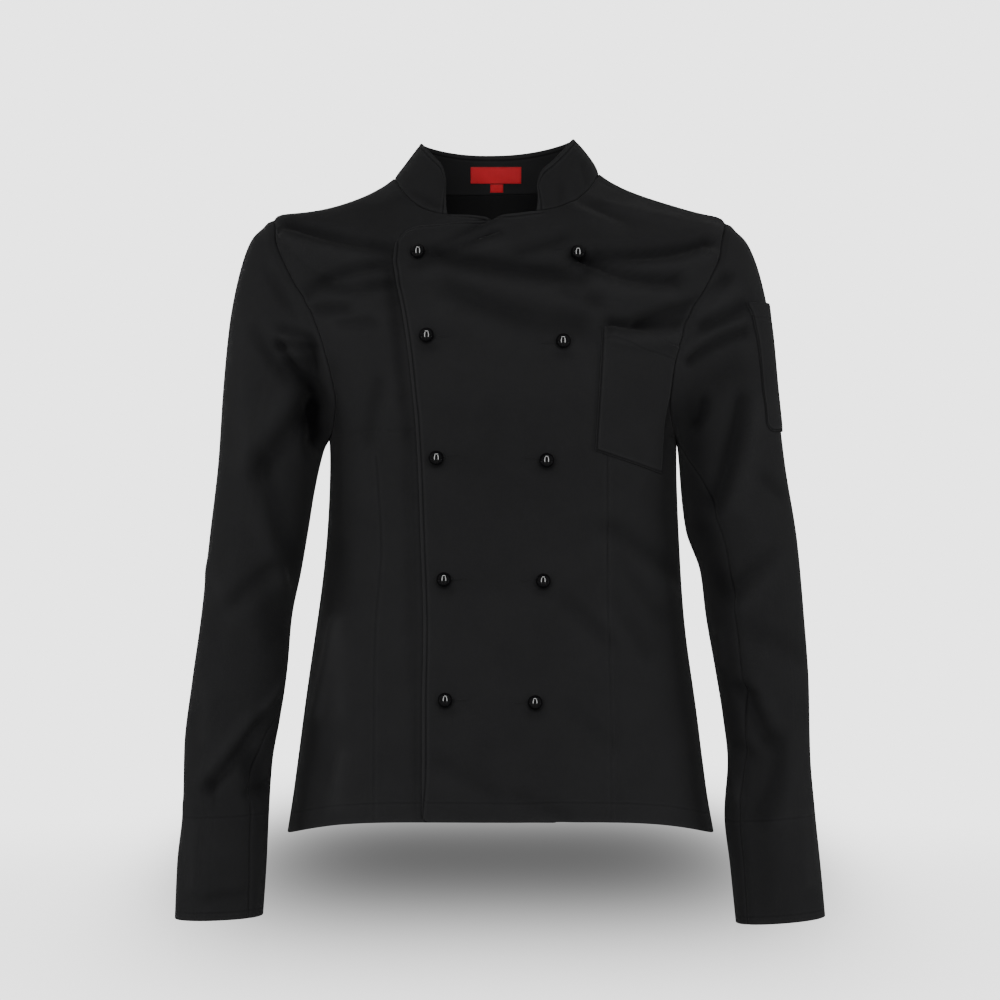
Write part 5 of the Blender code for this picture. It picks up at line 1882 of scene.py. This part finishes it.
@dataclass
class StandCollar(ClothPiece):
    """The stand collar, from the neck seam (height 0) to its top edge (height 1)."""

    torso: TorsoForm
    seam_x: tuple[float, float] = (31.7, -46.6)
    top_x: tuple[float, float] = (31.0, -47.0)
    belly: float = 2.5
    end_round: float = 13.0
    tall: float = 38.0
    long: float = 430.0
    stitch: float = 4.4
    stitch_sink: float = 0.25
    stitch_width: float = 1.1
    seam_sink: float = 0.6
    turn_over: float = 4
    fold_fade: float = 6
    # Painted shade: the whole collar is darker by shade, and its folds by fold_shade
    shade: float = 2.4
    fold_shade: float = 2
    lip: float = 1.3
    column_count: int = 170
    row_count: int = 18
    folds: tuple[Fold, ...] = (
        Fold(-75, -7, -53, -20, 0, 3.5, -1.4, -0.4),
        Fold(73, 19, 79, -3, 0, 4, -1.3, 0.3),
        Fold(53, -3, 54, -20, 0, 4, -1.1, 0.3),
    )

    def __post_init__(self) -> None:
        """Keeps the top ring and both ends' turns."""
        self.top = {name: values[0] for name, values in columns_of([COLLAR_TOP]).items()}
        self.seam_turns = self.torso.turn_at(np.array(self.seam_x), np.full(2, NECK_LEVEL))
        halves = np.array([self.top["left"], self.top["right"]])
        share = np.abs(np.array(self.top_x) - self.top["shift"]) / halves
        self.top_turns = np.sign(self.top_x) * np.arcsin(share ** (self.top["square"] / 2))

    def turn(self, along: Array, height: Array) -> Array:
        """The turn at a share of the way round, from the left end by the back to the right end.

        Args:
            along: Shares of the way round the collar.
            height: Shares of the collar's height.

        Returns:
            The turns.
        """
        first = self.seam_turns[0] + (self.top_turns[0] - self.seam_turns[0]) * height
        last = 2 * np.pi + self.seam_turns[1] + (self.top_turns[1] - self.seam_turns[1]) * height
        return first + (last - first) * along

    def base(self, turn: Array) -> Array:
        """The panels' upper edge that the collar is sewn to.

        Args:
            turn: Angles from the centre front.

        Returns:
            The points.
        """
        torso = self.torso
        level = np.full(np.shape(turn), NECK_LEVEL)
        over = (turn > 0) & (turn < np.pi / 2)
        column = torso.front_column(np.where(over, turn, 0), level)
        lift = np.where(over, torso.lap_lift(column, level), 0)
        return torso.surface(turn, level) + facing(torso.surface, turn, level) * lift[..., None]

    def plain(self, along: Array, height: Array) -> Array:
        """The collar's outer face: straight from its seam to its top ring, with a small belly.

        Args:
            along: Shares of the way round the collar.
            height: Shares of the collar's height.

        Returns:
            The points.
        """
        along, height = np.broadcast_arrays(np.asarray(along, float), np.asarray(height, float))
        turn = self.turn(along, height)
        low = self.base(turn)
        high = on_ring(self.top, turn, COLLAR_POWER)
        belly = self.belly * 4 * height * (1 - height) * np.clip(np.sin(turn), 0, 1)
        points = low + (high - low) * height[..., None]
        points[..., 0] += belly
        return points

    def shell(self) -> Shell:
        """The collar's wall, lower towards its front ends so that they are round.

        Returns:
            The wall.
        """
        steps = np.array(COLLAR_END_STEPS) / self.long
        along = spread(steps, steps, 0.0, 1.0, self.column_count)[None, :]
        low, high = np.array(COLLAR_LOW_STEPS) / self.tall, np.array(COLLAR_TOP_STEPS) / self.tall
        height = spread(low, high, 0.0, 1.0, self.row_count)[:, None]
        inside = np.clip(np.minimum(along, 1 - along) * self.long / self.end_round, 0, 1)
        drop = self.end_round / self.tall * (1 - np.sqrt(1 - (1 - inside) ** 2))
        height = height * (1 - drop)
        along = np.broadcast_to(along, height.shape)
        outer = self.plain(along, height)
        normal = facing(self.plain, along, height)
        up = run_along(outer, 0)
        seam_level = np.full_like(along[:1], NECK_LEVEL)
        panel = facing(self.torso.surface, self.turn(along[:1], height[:1]), seam_level)
        normal = turned(panel, normal, ease(up / self.turn_over))
        edge = np.minimum(from_ends(run_along(outer, 1)), up[-1:] - up)
        rise = fold_rise(self.folds, outer[..., 0], outer[..., 2])
        relief = seam_valley(up) * self.seam_sink + rise * ease(up / self.fold_fade)
        sunk = np.exp(-(((edge - self.stitch) / self.stitch_width) ** 2))
        relief = relief - self.stitch_sink * sunk
        outer = outer + normal * relief[..., None]
        lines = {
            "sewn_a": edge - self.stitch,
            "seam": up,
            "brim": edge,
            # Painted shade: darker in the folds, and all over the collar
            "hollow": hollow(self.folds, outer, up) * self.fold_shade - self.shade,
        }
        return Shell(self.name, outer, normal, wall=COLLAR_WALL, lip=self.lip, lines=lines)

    def inner(self, along: Array, height: Array) -> Array:
        """The collar's inner face."""
        return self.plain(along, height) - facing(self.plain, along, height) * COLLAR_WALL

    def inner_spot(self, x: Array, z: Array) -> tuple[Array, Array]:
        """The share along and the height at which the inner face passes (x, z) at the back.

        Both are moved again and again by what is still missing, divided by the face's own slope.

        Args:
            x: Places across, as seen from the front.
            z: Heights.

        Returns:
            The shares along, and the heights.
        """
        along = np.full(np.shape(x), 0.5)
        height = np.full(np.shape(x), 0.5)
        for _ in range(SPOT_STEPS):
            here = self.inner(along, height)
            slope_x = (self.inner(along + SLOPE_STEP, height) - here)[..., 0] / SLOPE_STEP
            slope_z = (self.inner(along, height + SLOPE_STEP) - here)[..., 2] / SLOPE_STEP
            along = along + (x - here[..., 0]) / slope_x
            height = height + (z - here[..., 2]) / slope_z
        return along, height


@dataclass
class NeckRibbon(ClothPiece):
    """A bare woven ribbon sewn inside the collar at the back."""

    collar: StandCollar
    low: Spot
    high: Spot
    gap: float = 0.35
    loose: float = 0.25
    wave: float = 0.12
    wave_run: float = 5.3
    lip: float = 0.5

    def finish(self, finishes: Finishes) -> bpy.types.Material:
        """What the piece is made of."""
        return finishes.ribbon

    def shell(self) -> Shell:
        """The ribbon's wall on the collar's inner face, its lower edge standing off a little.

        Returns:
            The wall.
        """
        steps = (0, 0.15, 0.35, 0.6)
        x = spread(steps, steps, self.low.x, self.high.x, RIBBON_COLUMNS)[None, :]
        z = spread(steps, steps, self.low.z, self.high.z, RIBBON_ROWS)[:, None]
        x, z = np.broadcast_arrays(x, z)
        along, height = self.collar.inner_spot(x, z)
        normal = -facing(self.collar.plain, along, height)
        share = (z - self.low.z) / (self.high.z - self.low.z)
        off = self.loose * (1 - share) + self.wave * np.sin(x / self.wave_run)
        outer = self.collar.inner(along, height) + normal * (self.gap + RIBBON + off)[..., None]
        up = run_along(outer, 0)
        brim = np.minimum(from_ends(run_along(outer, 1)), np.minimum(up, up[-1:] - up))
        return Shell(self.name, outer, normal, wall=RIBBON, lip=self.lip, lines={"brim": brim})


# ==== Pockets ====
POCKET_EDGE_STEPS = (*LIP_STEPS, 1.5, 2.4, 3.35, 4.3, 5.2, 6.2, 8.0)
POCKET_MOUTH_STEPS = (*LIP_STEPS, 2.0, 4.0, 8.0, 11.5, 12.5, 13.5)
PEN_EDGE_STEPS = (*LIP_STEPS, 1.7, 2.6, 3.4, 4.6, 6.5)


@dataclass(kw_only=True)
class Patch(ClothPiece):
    """A pocket laid on another piece: its slack, its open mouth and its stitches."""

    slack: float
    slack_from: float
    mouth: float
    mouth_tall: float
    mouth_from: float
    hem_stitch: float
    fold_shade: float

    def laid(self, surface: Array, normal: Array, folds: Sequence[Fold]) -> Shell:
        """The patch's wall over the points that it is laid on.

        Args:
            surface: The points of the piece below it, its mouth in the last row.
            normal: Their normals.
            folds: The folds below it.

        Returns:
            The wall.
        """
        up = run_along(surface, 0)
        top = up[-1:] - up
        sides = np.minimum(from_ends(run_along(surface, 1)), up)
        mouth = self.mouth * ease(1 - top / self.mouth_tall) * ease(sides / self.mouth_from)
        slack = self.slack * ease(sides / self.slack_from) + mouth
        outer = surface + normal * (PATCH_GAP + CLOTH + slack)[..., None]
        lines = {
            "sewn_a": sides - PATCH_STITCH,
            "sewn_b": top - self.hem_stitch,
            # Painted shade of the folds below the pocket
            "hollow": hollow(folds, outer, sides) * self.fold_shade,
        }
        return Shell(self.name, outer, normal, lines=lines)


@dataclass(kw_only=True)
class ChestPocket(Patch):
    """The chest patch pocket, which flares at its top into the armhole seam."""

    torso: TorsoForm
    top_in: Spot = Spot(88.5, -127.0)
    top_out: Spot = Spot(149.0, -144.0)
    low_in: Spot = Spot(82.0, -235.0)
    low_out: Spot = Spot(143.0, -256.0)
    flare: float = 9.0
    sag: float = 2.0
    mouth: float = 1.1
    slack: float = 0.5
    slack_from: float = 9
    mouth_tall: float = 26
    mouth_from: float = 14
    hem_stitch: float = 12.5
    tall: float = 110
    wide: float = 62
    flare_share: float = 0.25
    top_level: float = 2.2
    seam_gap: float = 0.012
    fold_shade: float = 0.6

    def places(self) -> tuple[Array, Array]:
        """The x and z of each grid point.

        Returns:
            Both, in rows from the pocket's bottom to its mouth.
        """
        edge, mouth = np.array(POCKET_EDGE_STEPS), np.array(POCKET_MOUTH_STEPS)
        down = 1 - spread(edge / self.tall, mouth / self.tall, 0, 1, PATCH_ROWS)[:, None]
        across = spread(edge / self.wide, edge / self.wide, 0, 1, PATCH_COLUMNS)[None, :]
        flare = self.flare * ease(1 - down / self.flare_share)
        first_x = self.top_in.x + (self.low_in.x - self.top_in.x) * down
        last_x = self.top_out.x + (self.low_out.x - self.top_out.x) * down + flare
        first_z = self.top_in.z + (self.low_in.z - self.top_in.z) * down
        last_z = self.top_out.z + (self.low_out.z - self.top_out.z) * down
        sag = self.sag * np.sin(np.pi * across) * (1 - down)
        x = first_x + (last_x - first_x) * across
        return x, first_z + (last_z - first_z) * across + sag

    def shell(self) -> Shell:
        """The pocket's wall of cloth on the top front, with its double stitched edge.

        Returns:
            The wall.
        """
        x, z = self.places()
        level = self.torso.level_at(x, z, self.top_level)
        turn = self.torso.turn_at(x, level)
        turn = np.minimum(turn, self.torso.edge_turn(level, Face.FRONT) - self.seam_gap)
        surface = self.torso.top_front(turn, level)
        return self.laid(surface, facing(self.torso.top_front, turn, level), FRONT_FOLDS)


@dataclass(kw_only=True)
class PenPocket(Patch):
    """The narrow pen pocket round the outer side of a sleeve, with round lower corners."""

    sleeve: SleeveForm
    front_top: float = 0.79
    front_low: float = 0.88
    back: float = -0.34
    top_z: float = -103.0
    low_z: float = -218.0
    corner: float = 9.0
    girth: float = 50.0
    tall: float = 115
    wide: float = 62
    slack: float = 0.4
    slack_from: float = 8
    mouth: float = 0.7
    mouth_tall: float = 18
    mouth_from: float = 10
    hem_stitch: float = 14.0
    fold_shade: float = 0.5

    def shell(self) -> Shell:
        """The pocket's wall of cloth on the sleeve, with its stitched edge.

        Returns:
            The wall.
        """
        edge = np.array(PEN_EDGE_STEPS)
        down = 1 - spread(edge / self.tall, edge / self.tall, 0, 1, PATCH_ROWS)[:, None]
        across = spread(edge / self.wide, edge / self.wide, 0, 1, PEN_COLUMNS)[None, :]
        front = self.front_top + (self.front_low - self.front_top) * down
        around = self.back + (front - self.back) * across
        near = np.minimum(around - self.back, front - around) * self.girth
        beside = np.clip(1 - near / self.corner, 0, 1)
        lift = self.corner * (1 - np.sqrt(1 - beside**2))
        z = self.top_z + (self.low_z + lift - self.top_z) * down
        reach = bisect(lambda at: -self.sleeve.plain(around, at)[..., 2], 0.0, 1.0, -z)
        surface = self.sleeve.surface(around, reach)
        normal = self.sleeve.out(self.sleeve.surface, around, reach)
        return self.laid(surface, normal, self.sleeve.front_folds)


# ==== Studs and buttonholes ====
@dataclass
class BallStud:
    """A polished ball stud on a short neck, and the worked buttonhole that it comes through."""

    torso: TorsoForm
    node: str
    place: Spot
    hole_way: Side
    ball: float = 6.6
    neck: float = 3.2
    stand: float = 1.3
    pole: float = 0.02
    ball_rows: int = 30
    ball_columns: int = 40
    hole_long: float = 17.0
    hole_wide: float = 0.12
    hole_away: float = 1.5
    hole_slant: float = 0.05
    band: float = 0.75
    band_height: float = 0.14
    band_lift: float = 0.1

    def spot(self, x: Array, z: Array) -> tuple[Array, Array]:
        """The top front's surface at (x, z), and its normal.

        Args:
            x: Places across, as seen from the front.
            z: Heights.

        Returns:
            The points and the normals.
        """
        level = self.torso.level_at(x, z)
        turn = self.torso.turn_at(x, level)
        return self.torso.top_front(turn, level), facing(self.torso.top_front, turn, level)

    def profile(self) -> tuple[Array, Array]:
        """Radius and height of the stud's outline: a small flare, its neck, and the ball up to its pole.

        Returns:
            The radii and the heights.
        """
        lowest = np.arcsin(self.neck / self.ball)
        centre = self.stand + self.ball * np.cos(lowest)
        angle = np.linspace(lowest, np.pi - self.pole, self.ball_rows)
        foot = [self.neck * 0.3, self.neck * 1.25, self.neck]
        radius = np.concatenate([foot, self.ball * np.sin(angle)])
        height = np.concatenate([[0.0, 0.02, self.stand * 0.6], centre - self.ball * np.cos(angle)])
        return radius, height

    def make(self, finishes: Finishes) -> None:
        """Builds and dresses the stud and its buttonhole.

        Args:
            finishes: The finishes of the part.
        """
        spots, normals = self.spot(np.array([self.place.x]), np.array([self.place.z]))
        spot, push = spots[0], normals[0]
        side = unit(np.cross([0.0, 0.0, 1.0], push))
        upward = np.cross(push, side)
        radius, height = self.profile()
        angle = np.arange(self.ball_columns) * 2 * np.pi / self.ball_columns
        ring = side * np.cos(angle)[:, None] + upward * np.sin(angle)[:, None]
        points = spot + radius[:, None, None] * ring + height[:, None, None] * push
        place = self.node.removeprefix("button_")
        mesh = grid_mesh(self.node + "_ball", points, wrap_rows=False, wrap_columns=True)
        end = len(mesh.vertices)
        first, last = range(self.ball_columns), range(end - self.ball_columns, end)
        close_up(mesh, first, last)
        dress(add_object("stud_" + place, mesh), finishes.gloss, self.node)
        hole = grid_mesh("hole_" + place, self.hole_points(), wrap_rows=True, wrap_columns=True)
        close_up(hole)
        note_lines(hole, {}, len(hole.vertices))
        dress(add_object("hole_" + place, hole), finishes.twill)

    def hole_points(self) -> Array:
        """The buttonhole's raised band: a thin long oval of thread, an arch across it.

        The oval's middle line is two straight sides joined by round ends.  The band rises above
        the cloth by its height times (1 - s^2), where s goes from -1 to 1 across it, and its
        underside lies just below the cloth.

        Returns:
            The band's points, as a grid.
        """
        angle = np.linspace(0, 2 * np.pi, 64, endpoint=False)[None, :]
        across = np.array([-1.0, -0.75, -0.4, 0.0, 0.4, 0.75, 1.0, 0.5, -0.5])[:, None]
        rise = np.array([0.0, 0.5, 0.86, 1.0, 0.86, 0.5, 0.0, -0.35, -0.35])[:, None] * self.band_height
        half = self.hole_long / 2
        wide = self.hole_wide / 2 + self.band / 2 * (1 + across)
        straight = np.clip(np.cos(angle) * 3, -1, 1) * (half - self.hole_wide)
        middle = self.place.x + self.hole_way.value * (half + self.hole_away)
        x = middle + straight + wide * np.cos(angle)
        z = self.place.z + wide * np.sin(angle) + self.hole_slant * straight
        points, normal = self.spot(x, z)
        return points + normal * (rise + self.band_lift)[..., None]


def close_up(mesh: bpy.types.Mesh, *rims: Sequence[int]) -> None:
    """Closes a mesh with a face over each open rim, and turns all its faces outwards.

    Args:
        mesh: The mesh.
        *rims: The corner numbers of each rim.
    """
    work = bmesh.new()
    work.from_mesh(mesh)
    work.verts.ensure_lookup_table()
    for rim in rims:
        work.faces.new([work.verts[i] for i in rim]).smooth = True
    bmesh.ops.recalc_face_normals(work, faces=work.faces)
    work.to_mesh(mesh)
    work.free()


# ==== Studio ====
@dataclass(frozen=True)
class Lamp:
    """A rectangular soft light that points at the jacket."""

    name: str
    place: tuple[float, float, float]
    size: tuple[float, float]
    power: float
    glint: bool = False
    aim: tuple[float, float, float] = (0.0, 0.0, -0.28)


@dataclass
class Studio:
    """The pale floor, the even surround, the soft lights and the camera."""

    pale: float = 3.15
    dim: float = 0.13
    floor_z: float = -0.6595
    floor_size: float = 40.0
    floor_grey: float = 0.16
    floor_roughness: float = 0.6
    floor_gloss: float = 0.21
    gloss_roughness: float = 0.14
    gloss_fade: tuple[float, float] = (0.7, 1.6)
    # A painted shadow on the floor behind the jacket: its depth, middle and reach
    shade_depth: float = 3.0
    shade_middle: tuple[float, float] = (0.0, 0.75)
    shade_reach: tuple[float, float] = (0.29, 0.84)
    camera_place: tuple[float, float, float] = (0.0, -4.0, -0.279)
    lens: float = 160.0
    sensor: float = 36.0
    lamps: tuple[Lamp, ...] = (
        Lamp("front_left", (-0.8, -2.8, -0.12), (0.45, 1.1), 22.5),
        Lamp("front_right", (0.8, -2.8, -0.12), (0.45, 1.1), 19.5),
        Lamp("front_middle", (0.0, -3.3, 0.45), (1.2, 0.5), 53.0),
        Lamp("side_left", (-2.3, -0.1, -0.35), (0.7, 1.2), 34.0),
        Lamp("side_right", (2.3, -0.1, -0.35), (0.7, 1.2), 34.0),
        Lamp("back_left", (-1.3, 2.8, 0.2), (0.6, 1.6), 26.0),
        Lamp("back_right", (1.3, 2.8, 0.2), (0.6, 1.6), 26.0),
        Lamp("glint_left", (-0.5, -1.0, 0.19), (0.2, 1.62), 15.0, True, (0.0, 0.0, 0.19)),
        Lamp("glint_right", (0.5, -1.0, 0.19), (0.2, 1.62), 15.0, True, (0.0, 0.0, 0.19)),
        Lamp("glint_top", (0.0, -0.75, 1.2), (1.1, 0.16), 14.0, True),
    )

    def make_world(self) -> None:
        """A pale surround to look at, which lights the jacket dimly."""
        world = bpy.data.worlds.new("surround")
        world.use_nodes = True
        sheet = NodeSheet(world.node_tree)
        back = sheet.tree.nodes["Background"]
        back.inputs["Color"].default_value = (1.0, 1.0, 1.0, 1.0)
        seen = sheet.add("ShaderNodeLightPath").outputs["Is Camera Ray"]
        strength = sheet.math("MULTIPLY_ADD", seen, self.pale - self.dim, self.dim)
        sheet.join(strength, back.inputs["Strength"])
        bpy.context.scene.world = world

    def make_floor(self) -> None:
        """A plain floor that glows as pale as the surround, with a painted shadow behind the jacket,
        slightly glossy, and which lights the jacket dimly.
        """
        half = self.floor_size / 2
        corners = [(-half, -half), (half, -half), (half, half), (-half, half)]
        mesh = bpy.data.meshes.new("floor")
        mesh.from_pydata([(x, y, self.floor_z) for x, y in corners], [], [(0, 1, 2, 3)])
        floor = add_object("floor", mesh)
        material, sheet, shader = new_material("pale_floor")
        shader.inputs["Base Color"].default_value = (*[self.floor_grey] * 3, 1.0)
        shader.inputs["Roughness"].default_value = self.floor_roughness
        glow = sheet.add("ShaderNodeEmission")
        shine = sheet.add("ShaderNodeBsdfAnisotropic")
        shine.inputs["Roughness"].default_value = self.gloss_roughness
        shine.inputs["Color"].default_value = (1.0, 1.0, 1.0, 1.0)
        place = sheet.add("ShaderNodeTexCoord").outputs["Object"]
        sheet.join(self.floor_light(sheet, place), glow.inputs["Strength"])
        length = sheet.add("ShaderNodeVectorMath", operation="LENGTH")
        sheet.join(place, length.inputs[0])
        near = sheet.add("ShaderNodeMapRange", interpolation_type="SMOOTHSTEP")
        near.inputs["From Max"].default_value, near.inputs["From Min"].default_value = self.gloss_fade
        sheet.join(length.outputs["Value"], near.inputs["Value"])
        glossy = sheet.add("ShaderNodeMixShader")
        sheet.join(sheet.math("MULTIPLY", near.outputs[0], self.floor_gloss), glossy.inputs[0])
        sheet.join(glow.outputs[0], glossy.inputs[1])
        sheet.join(shine.outputs[0], glossy.inputs[2])
        mix = sheet.add("ShaderNodeMixShader")
        sheet.join(sheet.add("ShaderNodeLightPath").outputs["Is Camera Ray"], mix.inputs[0])
        sheet.join(shader.outputs[0], mix.inputs[1])
        sheet.join(glossy.outputs[0], mix.inputs[2])
        sheet.join(mix.outputs[0], sheet.tree.nodes["Material Output"].inputs["Surface"])
        mesh.materials.append(material)

    def floor_light(self, sheet: NodeSheet, place: bpy.types.NodeSocket) -> bpy.types.NodeSocket:
        """The floor's glow, with a painted soft shadow behind the jacket.

        It is pale times e^(-depth bell), where bell is e^(-(across^4 + along^2)) of the distances
        from the shade's middle, as shares of its reach.

        Args:
            sheet: The floor's nodes.
            place: The place on the floor.

        Returns:
            The strength to glow with.
        """
        parts = sheet.add("ShaderNodeSeparateXYZ")
        sheet.join(place, parts.inputs[0])
        shares = []
        for i in range(2):
            away = sheet.math("SUBTRACT", parts.outputs[i], self.shade_middle[i])
            share = sheet.math("DIVIDE", away, self.shade_reach[i])
            shares.append(sheet.math("MULTIPLY", share, share))
        across = sheet.math("MULTIPLY", shares[0], shares[0])
        bell = sheet.math("EXPONENT", sheet.math("MULTIPLY", sheet.math("ADD", across, shares[1]), -1.0))
        fall = sheet.math("EXPONENT", sheet.math("MULTIPLY", bell, -self.shade_depth))
        return sheet.math("MULTIPLY", fall, self.pale)

    def make_lamps(self) -> None:
        """The soft lights, each turned to its aim."""
        for lamp in self.lamps:
            light = bpy.data.lights.new(lamp.name, "AREA")
            light.shape = "RECTANGLE"
            light.size, light.size_y = lamp.size
            light.energy = lamp.power
            obj = bpy.data.objects.new(lamp.name, light)
            obj.location = lamp.place
            obj.visible_glossy = lamp.glint
            obj.visible_diffuse = not lamp.glint
            obj.visible_camera = False
            way = Vector(lamp.aim) - Vector(lamp.place)
            obj.rotation_euler = way.to_track_quat("-Z", "Y").to_euler()
            bpy.context.scene.collection.objects.link(obj)

    def make_camera(self) -> None:
        """The camera, level with the middle of the jacket."""
        camera = bpy.data.cameras.new("camera")
        camera.lens = self.lens
        camera.sensor_width = self.sensor
        camera.dof.use_dof = False
        obj = bpy.data.objects.new("camera", camera)
        obj.location = self.camera_place
        obj.rotation_euler = (np.pi / 2, 0.0, 0.0)
        bpy.context.scene.collection.objects.link(obj)
        bpy.context.scene.camera = obj

    def make(self) -> None:
        """Builds the studio."""
        self.make_world()
        self.make_floor()
        self.make_lamps()
        self.make_camera()


def main() -> None:
    """Builds the studio, then the jacket's pieces in order."""
    logging.basicConfig(level=logging.INFO, format="%(name)s %(message)s")
    Studio().make()
    finishes = Finishes()
    torso = TorsoForm()
    folds = (RIGHT_SLEEVE_FRONT, RIGHT_SLEEVE_BACK, RIGHT_SLEEVE_SHADES)
    right = SleeveForm(torso, Side.RIGHT, SLEEVE_RIGHT, *folds, RIGHT_INSEAM)
    folds = (LEFT_SLEEVE_FRONT, LEFT_SLEEVE_BACK, LEFT_SLEEVE_SHADES)
    left = SleeveForm(torso, Side.LEFT, SLEEVE_LEFT, *folds, LEFT_INSEAM)
    collar = StandCollar("cloth_collar", "collar", Cut(0.43, 0.05, 0.017), torso)
    label, tab = Cut(0.0475, 0.0156, 0.00073), Cut(0.012, 0.010, 0.0001)
    chest = Cut(0.078, 0.128, 0.0094, "laid", ("cloth_front_left",))
    pen = Cut(0.070, 0.126, 0.0086, "laid", ("cloth_sleeve_left",))
    pieces: tuple[ClothPiece, ...] = (
        FrontPanel("cloth_front_right", "front_right", Cut(0.36, 0.62, 0.155), torso, Side.RIGHT),
        FrontPanel("cloth_front_left", "front_left", Cut(0.36, 0.62, 0.166), torso, Side.LEFT),
        BackPanel("cloth_back", "back", Cut(0.56, 0.62, 0.25), torso),
        SleeveTube("cloth_sleeve_right", "sleeve_right", Cut(0.40, 0.64, 0.167), right),
        SleeveTube("cloth_sleeve_left", "sleeve_left", Cut(0.40, 0.64, 0.168), left),
        collar,
        NeckRibbon("neck_label", "label", label, collar, Spot(-27.0, 9.5), Spot(19.5, 24.5)),
        NeckRibbon("neck_size_tab", "size_tab", tab, collar, Spot(-9.0, 1.5), Spot(3.0, 9.1)),
        ChestPocket(name="cloth_chest_pocket", node="chest_pocket", cut=chest, torso=torso),
        PenPocket(name="cloth_pen_pocket", node="sleeve_pocket", cut=pen, sleeve=left),
    )
    for piece in pieces:
        piece.make(finishes)
    for node, place, way in STUDS:
        BallStud(torso, node, place, way).make(finishes)


if __name__ == "__main__":
    main()
